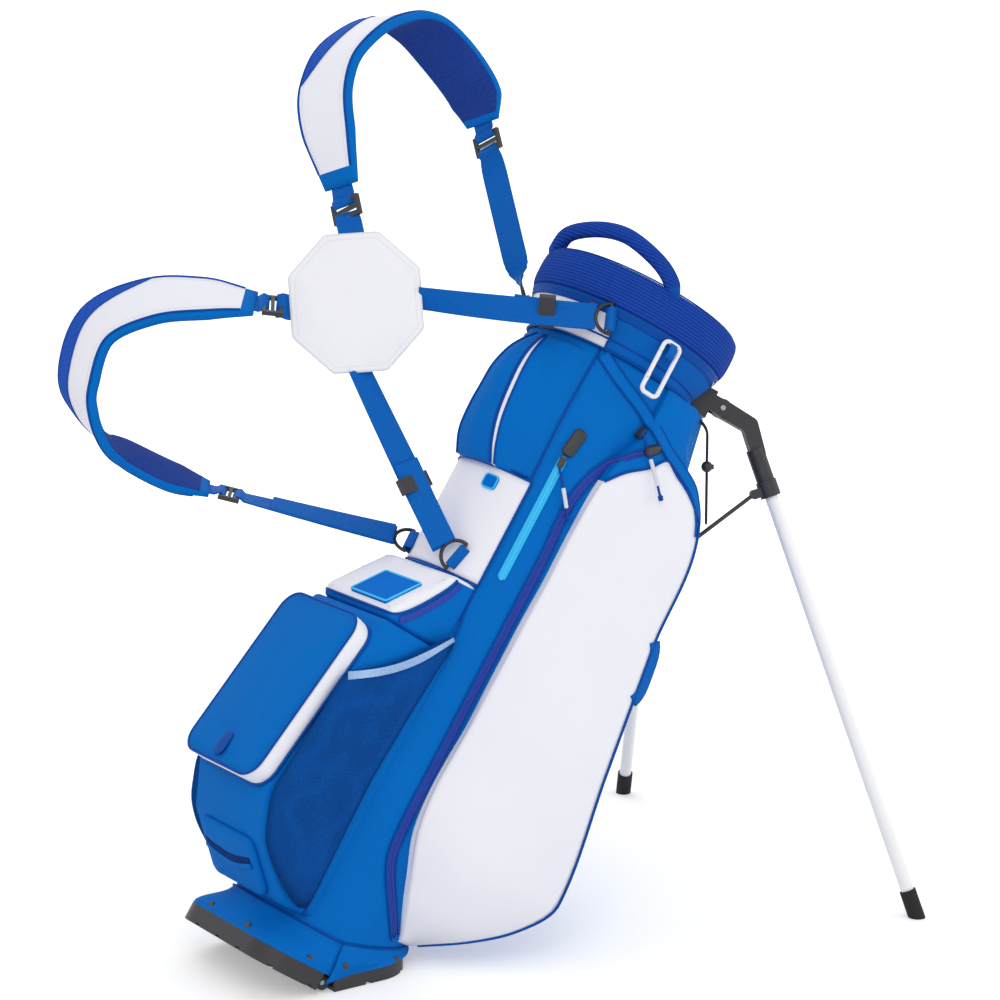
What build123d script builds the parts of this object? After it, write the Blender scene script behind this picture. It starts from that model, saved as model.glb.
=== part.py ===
from build123d import *
import os
from math import acos, atan2, cos, degrees, pi, radians, sin, sqrt, tan

# A golf stand bag: a leaning tube with a hinged foot plate, two spreading legs and a double strap.
# The bag's own frame has z up its length, x towards the legs and y across it, negative on the near
# side, with the foot plate's hinge pin above its origin. Angles round the bag start at the leg side
# and grow towards the near side. Everything is built there and then leaned into the standing pose.

# Driving dimensions, in millimetres and degrees.
lean_angle = 34.0
bag_length = 860.0
axis_offset = 26.0
sole_centre = 60.0
touch_gap = 0.3

# Base and foot plate.
base_front = 118.0
base_back = 86.0
base_width = 206.0
base_corner = 45.0
base_floor = 4.0
base_wall = 4.0
base_rim = 20.0
plate_rim = 15.0
tread_depth = 7.0
pin_height = 10.0
pin_radius = 3.0
pin_clearance = 0.05
knuckle_radius = 8.0
hinge_gap = 10.0

# Body tube and lower band.
shell_radius = 100.0
shell_wall = 3.0
band_top = 58.0
band_wall = 2.5
seam_height = 54.0
seam_slope = 15.8
seam_back = 14.0
skirt_facets = 40
stay_radius = 3.0
stay_ring = 90.5
stay_angles = (126.0, 180.0, 234.0)
boss_radius = 6.5
boss_height = 16.0
pad_thickness = 7.0

# Cuff, rim and dividers.
cuff_height = 46.0
cuff_radius = 118.0
cuff_wall = 6.0
rim_height = 46.0
rim_radius = 123.0
rim_thickness = 18.0
rim_round = 8.0
cross_width = 15.0
cross_height = 24.0
cross_drop = 12.0
sleeve_wall = 1.6
rivet_radius = 4.0
rivet_head = 1.6

# Leg stand.
pivot_reach = 126.0
pivot_spread = 60.0
pivot_drop = 66.0
stance_reach = 685.0
stance_spread = 280.0
tip_height = 8.0
folded_reach = 124.0
folded_spread = 50.0
leg_radius = 7.5
leg_wall = 1.2
crank_offset = 20.0
crank_thickness = 14.0
crank_elbow = 30.0
socket_start = 58.0
collar_place = 106.0
collar_height = 19.0
collar_radius = 12.0
socket_radius = 10.5
boot_radius = 9.5
boot_length = 24.0
cheek_thickness = 3.0
cheek_gap = 0.3
pivot_boss = 10.5
leg_pin_radius = 3.0

# Strut, yoke and push rods.
strut_radius = 2.4
strut_pin_radius = 2.0
eye_radius = 5.5
eye_thickness = 5.0
lug_thickness = 3.0
yoke_reach = 119.0
yoke_spread = 30.0
yoke_height = 10.0
yoke_bar = 8.0
ear_thickness = 3.5
tip_radius = 3.2
ear_clearance = 0.5
rod_place = 86.0
rod_radius = 3.0
rod_pad = 4.0
rod_ball = 5.0
slot_width = 14.0
tongue_width = 10.0
slot_margin = 3.0
trim_margin = 7.0
trim_thickness = 2.0
guide_heights = (200.0, 400.0)
guide_thickness = 7.0

# Pockets. A side pocket's sections give, at a share of its height, the angle and reach of its belly
# corner, its piped corner and its zip edge.
side_pocket_bottom = 88.0
side_pocket_drop = 2.0
side_pocket_belly = 33.0
side_bulge = 11.0
panel_thickness = 3.0
panel_top_share = 0.92
side_sections = [
    (0.0, 40, 100, 48, 105, 64, 104), (0.05, 40, 125, 51, 163, 78, 108),
    (0.1, 40, 145, 50, 204, 88, 110), (0.17, 40, 150, 50, 232, 99, 112),
    (0.39, 40, 150, 51, 214, 100, 112), (0.61, 40, 150, 52, 196, 99, 112),
    (0.83, 40, 146, 55, 180, 96, 112), (0.92, 40, 134, 64, 138, 84, 108),
    (1.0, 40, 124, 60, 121, 82, 104)]
ball_width = 150.0
ball_height = 212.0
ball_reach = 222.0
ball_foot = 166.0
ball_tilt = 8.7
ball_slab = 14.0
ball_band = 12.0
ball_corner = 24.0
ball_under = 64.0
pocket_root = 62.0
lid_bottom = 386.0
lid_top = 468.0
lid_front = 156.0
lid_edge = 16.0
lid_back = 102.0
lid_width = 140.0
lid_patch_size = 52.0
lid_patch_thickness = 2.0
mesh_thickness = 7.0
mesh_low = 72.0
mesh_high = 178.0
mesh_trim_low = 314.0
mesh_trim_high = 409.0
mesh_trim_width = 9.0
mesh_trim_thickness = 1.5
drink_thickness = 8.0
drink_width = 110.0
spine_panel_top = 598.0
spine_panel_start = 135.0
spine_panel_end = 225.0
fabric_patch = 2.0
pouch_root = 139.0
pouch_valley = 151.0
pouch_valley_lift = 3.0
pouch_top_gap = 10.0
pouch_crown = 4.0
pouch_ridge = [
    (0.0, 163, 12), (0.12, 165, 22), (0.35, 168, 29), (0.6, 170, 30),
    (0.8, 172, 24), (0.93, 174, 13), (1.0, 176, 4)]
zip_width = 10.0
zip_thickness = 1.2
zip_angle = 124.5
side_zip_bottom = 486.0
side_zip_top = 640.0
garage_length = 30.0
garage_width = 14.0
garage_thickness = 4.0
slider_length = 12.0
slider_width = 8.0
slider_thickness = 4.0

# Handle, rings, carabiner and cords.
handle_radius = 9.0
handle_rise = 32.0
tab_thickness = 3.0
ring_wire = 2.1
ring_width = 34.0
ring_depth = 17.0
clip_wire = 2.6
clip_length = 68.0
clip_width = 27.0
clip_corner = 6.0
clip_angle = 100.0
clip_drop = 6.0
clip_gate_top = 14.0
clip_gate_bottom = 48.0
clip_tongue = 2.0
clip_tongue_length = 8.0
clip_pin = 1.1
clip_tab_width = 9.6
cord_radius = 1.5
cord_spacing = 7.0
cord_exit_radius = 6.0
cord_angle = 46.0
cord_reach = 31.0
cord_fall = 118.0
pull_radius = 1.4
sleeve_radius = 2.4
knot_radius = 3.0
side_pull_fall = 56.0
pocket_pull_fall = 72.0
lock_radius = 6.5
lock_fall = 52.0
button_radius = 2.9
button_length = 4.2
button_travel = 1.2
keeper_low = 440.0
keeper_high = 510.0
keeper_reach = 14.0
keeper_thickness = 4.0

# Harness.
web_width = 30.0
web_thickness = 2.4
pad_width = 64.0
pad_depth = 14.0
octagon_width = 146.0
octagon_height = 154.0
octagon_cut = 43.0
octagon_depth = 11.0
octagon_out = 282.0
octagon_side = 90.0
octagon_drop = 174.0
buckle_width = 40.0
buckle_length = 24.0
buckle_thickness = 5.0
buckle_bar = 4.0
glide_length = 18.0
glide_thickness = 7.0
upper_glide_share = 0.72
lower_glide_share = 0.64
glide_travel = 0.4

# Where the harness hangs, as offsets from the middle of the octagon, and the way across each strap.
upper_pad_route = [
    (-60, 46, 109), (-108, 71, 172), (-119, 86, 213), (-113, 96, 254), (-80, 107, 306),
    (-34, 113, 328), (18, 117, 325), (68, 105, 305), (95, 94, 278)]
upper_pad_across = [
    (0.15, -0.95, 0.27), (0.35, -0.88, 0.33), (0.30, -0.94, 0.17), (0.15, -0.98, 0.05),
    (-0.05, -0.99, 0.05), (0.0, -0.87, 0.48), (0.12, -0.75, 0.64), (0.10, -0.80, 0.58),
    (-0.05, -0.88, 0.46)]
lower_pad_route = [
    (-78, 59, -53), (-123, 96, -77), (-159, 129, -106), (-185, 158, -155), (-171, 162, -215),
    (-144, 156, -244), (-111, 144, -262), (-84, 137, -262), (-39, 117, -260), (4, 95, -252)]
lower_pad_across = [
    (-0.05, 0.92, 0.38), (-0.05, 0.83, 0.55), (-0.15, 0.80, 0.58), (-0.28, 0.88, 0.38), (-0.20, 0.97, 0.05),
    (0.08, 0.98, 0.10), (0.25, 0.92, 0.28), (0.30, 0.84, 0.44), (0.29, 0.84, 0.46), (0.31, 0.88, 0.35)]

# Values worked out from those above.
shell_inner = shell_radius - shell_wall
rod_seat = base_floor + rod_pad
shell_top = bag_length - rim_height - cuff_height
cuff_top = bag_length - rim_height
rim_inner = rim_radius - rim_thickness
cross_bottom = bag_length - cross_drop - cross_height
lower_ring_height = lid_top + 20.0
upper_ring_height = cuff_top - 16.0
clip_height = cuff_top - clip_drop
side_pocket_top = shell_top - side_pocket_drop
lean = radians(lean_angle)
far = 2.0 * bag_length

up = Vector(0, 0, 1)
from_bottom = (Align.CENTER, Align.CENTER, Align.MIN)
pieces = {}


def outward(angle):
    return Vector(cos(radians(angle)), -sin(radians(angle)), 0)


def on_body(angle, radius, height):
    return Vector(axis_offset, 0, height) + outward(angle) * radius


def turned(vector, axis, angle):
    """Turns a vector about a unit axis by an angle in radians."""
    along = axis * (axis.dot(vector) * (1 - cos(angle)))
    return vector * cos(angle) + axis.cross(vector) * sin(angle) + along


def to_bag(point):
    """A point in the standing frame, whose x starts under the hinge pin, in the bag's own frame."""
    x, z = point.X, point.Z - pin_height
    return Vector(x * cos(lean) - z * sin(lean), point.Y, x * sin(lean) + z * cos(lean) + pin_height)


def disc_stack(radius, bottom, top):
    return Pos(axis_offset, 0, bottom) * Cylinder(radius, top - bottom, align=from_bottom)


def pipe_wall(inner, outer, bottom, top):
    return disc_stack(outer, bottom, top) - disc_stack(inner, bottom, top)


def sector(start, end, bottom, top, reach=rim_radius * 2):
    """A wedge of the space round the bag between two angles."""
    steps = max(2, int((end - start) / 30.0) + 1)
    spokes = [start + (end - start) * i / steps for i in range(steps + 1)]
    rim = [(reach * cos(radians(s)), -reach * sin(radians(s))) for s in spokes]
    face = make_face(Polyline((0, 0), *rim, close=True))
    return Pos(axis_offset, 0, bottom) * extrude(face, top - bottom, dir=(0, 0, 1))


def patch(start, end, bottom, top, inner, outer):
    return pipe_wall(inner, outer, bottom, top) & sector(start, end, bottom - 1, top + 1)


def rod(start, end, radius):
    start, end = Vector(start), Vector(end)
    return Plane(origin=start, z_dir=end - start) * Cylinder(radius, (end - start).length, align=from_bottom)


def stud(angle, height, start, end, radius):
    return rod(on_body(angle, start, height), on_body(angle, end, height), radius)


def block(x0, x1, y0, y1, z0, z1):
    return Pos((x0 + x1) / 2, (y0 + y1) / 2, (z0 + z1) / 2) * Box(x1 - x0, y1 - y0, z1 - z0)


def ring_loft(sections):
    return loft([make_face(Polyline(*points, close=True)) for points in sections], ruled=True)


def band(points, across, width, thickness):
    """A flat strap through points, with the direction across it given at each point."""
    faces = []
    last = len(points) - 1
    for i, (point, side) in enumerate(zip(points, across)):
        along = points[min(i + 1, last)] - points[max(i - 1, 0)]
        side = (side - along * (side.dot(along) / along.dot(along))).normalized()
        normal = along.cross(side).normalized()
        half, deep = side * (width / 2), normal * (thickness / 2)
        corners = [point - half - deep, point + half - deep, point + half + deep, point - half + deep]
        faces.append(make_face(Polyline(*corners, close=True)))
    return loft(faces, ruled=True)


def single(shape):
    """The largest solid of a cut piece."""
    return max(shape.solids(), key=lambda solid: solid.volume)


def group(shapes):
    """Separate solids kept in one piece of the model."""
    return Part() + [single(shape) for shape in shapes]


def mirrored(shape):
    return mirror(shape, about=Plane.XZ)


def base_outline(inset=0.0):
    length = base_front + base_back - 2 * inset
    middle = (base_front - base_back) / 2
    return Pos(middle, 0, 0) * RectangleRounded(length, base_width - 2 * inset, base_corner - inset)


def seam_plane(lift=0.0):
    """The sloping plane where the body tube ends above the foot plate."""
    slope = radians(seam_slope)
    origin = Vector(-seam_back, 0, seam_height + lift)
    return Plane(origin=origin, x_dir=(cos(slope), 0, sin(slope)), z_dir=(-sin(slope), 0, cos(slope)))


def above_seam(lift=0.0):
    """Everything above the seam: level behind the hinge and sloping up in front of it."""
    level = block(-far, -seam_back, -far, far, seam_height + lift, far)
    front = seam_plane(lift) * block(0, far, -far, far, 0, far)
    return level + (front & block(-seam_back, far, -far, far, -far, far))


def plate_pose():
    return Pos(0, 0, pin_height) * Rot(0, -lean_angle, 0) * Pos(0, 0, -pin_height)


def bag_pose():
    lift = Pos(-sole_centre, 0, pin_height)
    return lift * Rot(0, lean_angle, 0) * Pos(0, 0, -pin_height)


def knuckles(spans, side, floor_top):
    """Hinge knuckles round the pin, each with a web to its floor; side is 1 for the foot plate."""
    parts = []
    for start, end in spans:
        width = end - start
        barrel = Pos(0, (start + end) / 2, pin_height) * Rot(90, 0, 0) * Cylinder(knuckle_radius, width)
        inner, outer = sorted((0.0, side * (hinge_gap + base_floor)))
        web = block(inner, outer, start, end, 2.0, pin_height)
        parts.append(barrel + web)
    hole = Pos(0, 0, pin_height) * Rot(90, 0, 0) * Cylinder(pin_radius + pin_clearance, base_width)
    return Part() + parts - hole


# Base, foot plate and hinge.
half_width = base_width / 2
base_spans = [(-half_width + 8, -half_width + 24), (-14, 14), (half_width - 24, half_width - 8)]
plate_spans = [(-half_width + 24.5, -14.5), (14.5, half_width - 24.5)]


def tread_notches(start, end):
    """Grooves across the sole near its edge."""
    notches = []
    for i in range(7):
        angle = start + (end - start) * i / 6
        reach = base_width / 2 + 8
        place = Pos((base_front - base_back) / 2, 0, 0) * Rot(0, 0, angle) * Pos(reach, 0, 0)
        notches.append(place * Box(60, tread_depth, 2 * (base_floor - 1.5)))
    return notches


def make_base_cup():
    floor = extrude(base_outline(), base_floor)
    wall = extrude(base_outline(), base_rim) - extrude(base_outline(base_wall), base_rim)
    cup = (floor + wall) & block(-far, -hinge_gap, -far, far, -1, far)
    bosses = [Pos(0, 0, base_floor) * place_stay(angle, 0, boss_height, boss_radius) for angle in stay_angles]
    cup = cup - tread_notches(110, 250) + bosses + knuckles(base_spans, -1, base_floor)
    sockets = [place_stay(angle, base_floor + 2, boss_height * 2, stay_radius + pin_clearance)
               for angle in stay_angles]
    return single(cup - sockets)


def place_stay(angle, bottom, height, radius):
    foot = on_body(angle, stay_ring, bottom)
    return rod(foot, foot + up * height, radius)


def make_foot_plate():
    floor = extrude(base_outline(), base_floor)
    wall = extrude(base_outline(), plate_rim) - extrude(base_outline(base_wall), plate_rim)
    plate = (floor + wall) & block(hinge_gap, far, -far, far, -1, far)
    plate = plate - tread_notches(-70, 70) + knuckles(plate_spans, 1, base_floor)
    pads = [block(rod_place - 8, base_front - base_wall, y - 9, y + 9, base_floor, rod_seat)
            for y in (-yoke_spread, yoke_spread)]
    return single(plate + pads)


pieces["base_cup"] = make_base_cup()
foot_plate = make_foot_plate()
pieces["foot_plate"] = plate_pose() * foot_plate
hinge_pin = Pos(0, 0, pin_height) * Rot(90, 0, 0) * Cylinder(pin_radius, base_width - 18)


# Body tube, lower band, front skirt and what is inside.
def band_loft(inset, top_radius):
    low = Pos(0, 0, base_rim) * base_outline(inset)
    high = Pos(axis_offset, 0, band_top) * Circle(top_radius)
    return loft([low.face(), high.face()])


def make_lower_band():
    skin = band_loft(0, shell_radius + band_wall) - band_loft(band_wall, shell_radius)
    return single(skin & block(-far, -hinge_gap, -far, far, -1, far))


def outline_points(inset):
    """Points round the base's outline, one in each direction from its middle."""
    wire = base_outline(inset).face().outer_wire()
    middle = (base_front - base_back) / 2
    spots = [wire @ (i / 720) for i in range(720)]
    bearings = [(atan2(spot.Y, spot.X - middle) % (2 * pi), spot) for spot in spots]
    picked = []
    for i in range(skirt_facets):
        goal = 2 * pi * i / skirt_facets
        _, spot = min(bearings, key=lambda pair: abs((pair[0] - goal + pi) % (2 * pi) - pi))
        picked.append((spot.X, spot.Y))
    return picked


def make_front_skirt():
    """The soft skirt between the foot plate's rim and the body tube, folded short while the bag leans."""
    seam = seam_plane()
    slope = radians(seam_slope)
    centre = seam.origin + seam.x_dir * ((axis_offset + seam_back) / cos(slope))
    top_plane = Plane(origin=centre, x_dir=seam.x_dir, z_dir=seam.z_dir)

    def skin(inset, past):
        radius = shell_radius - inset
        low = [(plate_pose() * Pos(x, y, plate_rim - past)).position for x, y in outline_points(inset)]
        turns = [2 * pi * i / skirt_facets for i in range(skirt_facets)]
        high = [Vector(radius / cos(slope) * cos(t), radius * sin(t), past) for t in turns]
        return ring_loft([low, [top_plane.from_local_coords(point) for point in high]])

    wall = skin(0, 0) - skin(band_wall, 1)
    return single(wall & block(2, far, -far, far, -far, far))


def make_body_shell():
    shell = pipe_wall(shell_inner, shell_radius, 0, shell_top) & above_seam()
    return single(shell - slot_block(0))


def slot_block(margin):
    low, high = slot_low - margin, slot_high + margin
    return block(axis_offset + shell_inner - 30, axis_offset + shell_radius + 30,
                 -slot_width / 2 - margin, slot_width / 2 + margin, low, high)


def make_sleeves():
    """Four full-length sleeves, as the crossed walls between them."""
    length = shell_top + cuff_height
    sheet = Pos(axis_offset, 0, length / 2) * Box(far, sleeve_wall, length)
    walls = (Pos(axis_offset, 0, 0) * Rot(0, 0, 45) * Pos(-axis_offset, 0, 0) * sheet
             + Pos(axis_offset, 0, 0) * Rot(0, 0, -45) * Pos(-axis_offset, 0, 0) * sheet)
    walls = walls & disc_stack(shell_inner - touch_gap, 0, cross_bottom)
    front = above_seam(rod_seat)
    back = block(-far, -seam_back, -far, far, base_floor + pad_thickness, far)
    return single(walls & (front + back))


def make_divider_cross():
    middle = Pos(axis_offset, 0, cross_bottom + cross_height / 2)
    bar = middle * Box(3 * rim_radius, cross_width, cross_height)
    bars = [Pos(axis_offset, 0, 0) * Rot(0, 0, turn) * Pos(-axis_offset, 0, 0) * bar for turn in (45, -45)]
    cross = bars[0] + bars[1]
    return single(cross & disc_stack(rim_inner, cross_bottom, bag_length))


def make_top_cuff():
    outer = [(shell_radius + 1, shell_top), (shell_radius + 2, shell_top + 12), (cuff_radius, cuff_top)]
    inner = [(cuff_radius - cuff_wall, cuff_top), (shell_inner, shell_top + 8), (shell_inner, shell_top)]
    face = make_face(Plane.XZ * Polyline(*outer, *inner, close=True))
    ring = Pos(axis_offset, 0, 0) * revolve(face, Axis.Z)
    bosses = [place_stay(angle, shell_top + 4, boss_height, boss_radius) for angle in stay_angles]
    bore = stay_radius + pin_clearance
    sockets = [place_stay(angle, shell_top, boss_height, bore) for angle in stay_angles]
    return single(ring + bosses - sockets)


def make_rim_pad():
    section = Pos(rim_radius - rim_thickness / 2, cuff_top + rim_height / 2) * RectangleRounded(
        rim_thickness, rim_height, rim_round)
    return Pos(axis_offset, 0, 0) * revolve(Plane.XZ * section, Axis.Z)


def make_floor_pad():
    pad = Pos(0, 0, base_floor) * extrude(base_outline(base_wall + 1), pad_thickness)
    pad = pad & block(-far, -hinge_gap - base_floor - 2, -far, far, 0, far)
    return single(pad - [place_stay(angle, 0, 60, boss_radius + touch_gap) for angle in stay_angles])


# The stand's geometry, from the foot tips and the fold.
pivot = Vector(axis_offset + pivot_reach, -pivot_spread, bag_length - pivot_drop)
foot_tip = to_bag(Vector(stance_reach, -stance_spread, tip_height))
leg_length = (foot_tip - pivot).length
folded_tip_x = axis_offset + folded_reach
fold_drop = sqrt(leg_length ** 2 - (folded_tip_x - pivot.X) ** 2 - (pivot_spread - folded_spread) ** 2)
folded_tip = Vector(folded_tip_x, -folded_spread, pivot.Z - fold_drop)
leg_dir = (foot_tip - pivot).normalized()
folded_dir = (folded_tip - pivot).normalized()
leg_axis = leg_dir.cross(folded_dir).normalized()
leg_out = leg_dir.cross(leg_axis)
leg_swing = acos(leg_dir.dot(folded_dir))
collar_point = pivot + leg_dir * collar_place
folded_collar = pivot + turned(collar_point - pivot, leg_axis, leg_swing)


def rod_height(angle):
    """Height of a push rod's ball centre while the foot plate is raised by an angle."""
    return pin_height + rod_place * tan(angle) + (rod_seat - pin_height + rod_ball + touch_gap) / cos(angle)


rod_travel = rod_height(lean) - rod_height(0.0)


def solve_yoke():
    """The yoke's height at which the strut fits both the spread and the folded leg."""
    low, high = band_top + rod_travel, pivot.Z

    def misfit(height):
        spread = Vector(axis_offset + yoke_reach, -yoke_spread, height)
        return (collar_point - spread).length - (folded_collar - (spread - up * rod_travel)).length

    for _ in range(60):
        middle = (low + high) / 2
        if misfit(low) * misfit(middle) <= 0:
            high = middle
        else:
            low = middle
    return low


yoke_point = Vector(axis_offset + yoke_reach, -yoke_spread, solve_yoke())
strut_dir = (yoke_point - collar_point).normalized()
folded_strut = (yoke_point - up * rod_travel - folded_collar).normalized()
folded_strut = turned(folded_strut, leg_axis, -leg_swing)
strut_axis = strut_dir.cross(folded_strut).normalized()
strut_swing = acos(strut_dir.dot(folded_strut))
yoke_top = yoke_point.Z + 2.0
yoke_bottom = yoke_top - yoke_height
slot_high = yoke_top + slot_margin
slot_low = yoke_bottom - rod_travel - slot_margin

pieces["lower_band"] = make_lower_band()
pieces["front_skirt"] = make_front_skirt()
pieces["body_shell"] = make_body_shell()
pieces["club_sleeves"] = make_sleeves()
pieces["divider_cross"] = make_divider_cross()
pieces["top_cuff"] = make_top_cuff()
pieces["rim_pad"] = make_rim_pad()
pieces["floor_pad"] = make_floor_pad()
stay_span = shell_top + boss_height - 2 - (base_floor + 2.5)
stays = [place_stay(angle, base_floor + 2.5, stay_span, stay_radius) for angle in stay_angles]
pieces["stay_rods"] = group(stays)


# Legs. The leg plane has x down the leg and y away from the bag.
leg_plane = Plane(origin=pivot, x_dir=leg_dir, z_dir=-leg_axis)


def leg_point(along, out, side=0.0):
    return pivot + leg_dir * along + leg_out * out - leg_axis * side


tube_start = leg_point(socket_start, crank_offset)
tube_dir = (foot_tip - tube_start).normalized()


def tube_point(along):
    """A point on the leg tube's centre line, by its distance down the leg."""
    return tube_start + tube_dir * ((along - socket_start) / tube_dir.dot(leg_dir))


def make_crank_arm():
    boss = Circle(pivot_boss)
    elbow = Pos(crank_elbow, crank_offset + 4) * Circle(pivot_boss - 1)
    upper = make_hull((boss.edges() + elbow.edges()))
    lower = make_hull((elbow + Pos(socket_start + 6, crank_offset + 1) * Circle(pivot_boss - 2)).edges())
    arm = extrude(leg_plane * (upper + lower).face(), crank_thickness / 2, both=True)
    socket = rod(tube_point(socket_start), tube_point(collar_place - collar_height / 2), socket_radius)
    bore = rod(tube_point(socket_start + 4), tube_point(collar_place), leg_radius + pin_clearance)
    hole = rod(leg_point(0, 0, -far / 20), leg_point(0, 0, far / 20), leg_pin_radius + pin_clearance)
    return single(arm + socket - bore - hole)


def make_leg_tube():
    start, end = tube_point(socket_start + 4), tube_point(leg_length) - tube_dir * 4
    return rod(start, end, leg_radius) - rod(start - tube_dir, end - tube_dir * 3, leg_radius - leg_wall)


def make_collar():
    half = collar_height / 2
    ring = rod(tube_point(collar_place - half), tube_point(collar_place + half), collar_radius)
    bore = rod(tube_point(collar_place - 30), tube_point(collar_place + 30), leg_radius + pin_clearance)
    shift = strut_axis * (eye_thickness / 2 + touch_gap + lug_thickness / 2)
    lug_plane = Plane(origin=collar_point + shift, x_dir=leg_out, z_dir=strut_axis)
    lug = lug_plane * Pos(crank_offset / 2 - 2, 0, 0) * Box(crank_offset, 2 * eye_radius, lug_thickness)
    nose = lug_plane * Cylinder(eye_radius, lug_thickness)
    side = eye_thickness / 2 + touch_gap
    pin_start = collar_point - strut_axis * side
    head = rod(pin_start - strut_axis * 1.6, pin_start, strut_pin_radius + 1.5)
    pin = rod(pin_start, collar_point + strut_axis * (side + 1), strut_pin_radius)
    return single(ring + lug + nose - bore + head + pin)


def make_strut():
    side = eye_thickness / 2
    eye = rod(collar_point - strut_axis * side, collar_point + strut_axis * side, eye_radius)
    wire = rod(collar_point + strut_dir * (eye_radius - 1), yoke_point, strut_radius)
    tip = Pos(*yoke_point) * Sphere(tip_radius)
    bore = strut_pin_radius + pin_clearance
    hole = rod(collar_point - strut_axis * 20, collar_point + strut_axis * 20, bore)
    return single(eye + wire + tip - hole)


def make_boot():
    top = tube_point(leg_length) - tube_dir * boot_length
    boot = rod(top, tube_point(leg_length) + tube_dir * boot_radius * 2, boot_radius)
    cup = rod(top - tube_dir, tube_point(leg_length) - tube_dir * 4, leg_radius + pin_clearance)
    ground = bag_pose().inverse() * block(-far, far, -far, far, -far, 0)
    return single(boot - cup - ground)


def make_bracket():
    """Two cheeks on a saddle that is seated on the cuff, either side of the crank arm."""
    radial = Vector(pivot.X - axis_offset, pivot.Y, 0)
    reach = radial.length
    radial = (radial - leg_axis * radial.dot(leg_axis)).normalized()
    cross = leg_axis
    plane = Plane(origin=pivot - radial * reach, x_dir=radial, z_dir=radial.cross(leg_axis))
    inner = crank_thickness / 2 + cheek_gap
    outer = inner + cheek_thickness
    start = cuff_radius - 20
    saddle_end = reach - pivot_boss - 2.5
    saddle = plane * block(start, saddle_end, -outer, outer, -20, 14)
    side_block = plane * block(start, reach, -outer, outer, -pivot_boss + 1, pivot_boss - 1)
    nose = rod(pivot - cross * outer, pivot + cross * outer, pivot_boss)
    gap = plane * block(saddle_end, reach + 40, -inner, inner, -40, 40)
    cuff_space = pieces["top_cuff"] + disc_stack(cuff_radius - 12, shell_top - 30, bag_length)
    hole = rod(pivot - cross * 40, pivot + cross * 40, leg_pin_radius)
    return single(saddle + side_block + nose - gap - cuff_space - pieces["body_shell"] - hole), outer


bracket, bracket_half = make_bracket()
pin_end = leg_axis * (bracket_half + 1.5)
leg_pin = rod(pivot - pin_end, pivot + pin_end, leg_pin_radius)
pieces["leg_brackets"] = group([bracket, mirrored(bracket)])
pieces["stand_pins"] = group([leg_pin, mirrored(leg_pin), hinge_pin])
near_leg = {
    "crank_arm": make_crank_arm(), "leg_tube": make_leg_tube(), "leg_collar": make_collar(),
    "leg_strut": make_strut(), "leg_boot": make_boot()}
for name, piece in near_leg.items():
    pieces[name + "_near"] = piece
    pieces[name + "_far"] = mirrored(piece)


# Push rods and yoke.
def make_push_rods():
    rods = []
    for y in (-yoke_spread, yoke_spread):
        foot = Vector(rod_place, y, rod_height(lean))
        rods.append(Pos(*foot) * Sphere(rod_ball) + rod(foot, Vector(rod_place, y, yoke_bottom), rod_radius))
    return group(rods)


def make_yoke():
    half = yoke_spread + tip_radius + ear_clearance
    bar_end = yoke_point.X - tip_radius - 2.5
    bar_half = half + ear_thickness
    bar = block(bar_end - yoke_bar, bar_end, -bar_half, bar_half, yoke_bottom, yoke_top)
    tongue = block(rod_place, bar_end, -tongue_width / 2, tongue_width / 2, yoke_bottom, yoke_top)
    inner = block(rod_place - yoke_bar / 2, rod_place + yoke_bar / 2, -yoke_spread - 5, yoke_spread + 5,
                  yoke_bottom, yoke_top)
    ears = [block(bar_end - 1, yoke_point.X + 5, y, y + ear_thickness, yoke_bottom, yoke_top)
            for y in (half, -half - ear_thickness)]
    return single(bar + tongue + inner + ears)


def make_slot_trim():
    low, high = slot_low - trim_margin, slot_high + trim_margin
    trim = pipe_wall(shell_radius, shell_radius + trim_thickness, low, high)
    width = slot_width / 2 + trim_margin
    return single((trim & block(0, far, -width, width, 0, far)) - slot_block(0))


def make_guides():
    guides = []
    for height in guide_heights:
        plate = disc_stack(shell_inner, height, height + guide_thickness)
        plate = plate & block(rod_place - 8, far, -yoke_spread - 9, yoke_spread + 9, 0, far)
        holes = [rod((rod_place, y, 0), (rod_place, y, far), rod_radius + touch_gap)
                 for y in (-yoke_spread, yoke_spread)]
        guides.append(plate - holes)
    return guides


pieces["push_rods"] = make_push_rods()
pieces["yoke"] = make_yoke()
pieces["rod_guides"] = group(make_guides() + [make_slot_trim()])


# Pockets on both sides of the belly.
def plan_point(angle, reach):
    point = on_body(angle, reach, 0)
    return Vector(point.X, point.Y, 0)


def side_outline(section, inset):
    """Corners of a side pocket's section: belly, gusset, piped corner, bulge, zip edge and back."""
    _, gusset, gusset_reach, corner, corner_reach, edge, edge_reach = section
    piped, zipped = plan_point(corner, corner_reach), plan_point(edge, edge_reach)
    across = (zipped - piped).normalized()
    normal = Vector(across.Y, -across.X, 0)
    if normal.dot(outward((corner + edge) / 2)) < 0:
        normal = -normal
    middle = (piped + zipped) / 2 + normal * side_bulge * min(1.0, (zipped - piped).length / base_width)
    shift = normal * -inset
    return [plan_point(side_pocket_belly, shell_inner - 2), plan_point(gusset, gusset_reach),
            piped + shift, middle + shift, zipped + shift, plan_point(edge, shell_inner - 2)]


def pocket_level(share):
    return side_pocket_bottom + share * (side_pocket_top - side_pocket_bottom)


def at_share(points, share):
    lift = up * pocket_level(share)
    return [point + lift for point in points]


def make_side_pocket():
    sections = [at_share(side_outline(section, panel_thickness), section[0]) for section in side_sections]
    return single(ring_loft(sections) - disc_stack(shell_radius, 0, bag_length))


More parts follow.
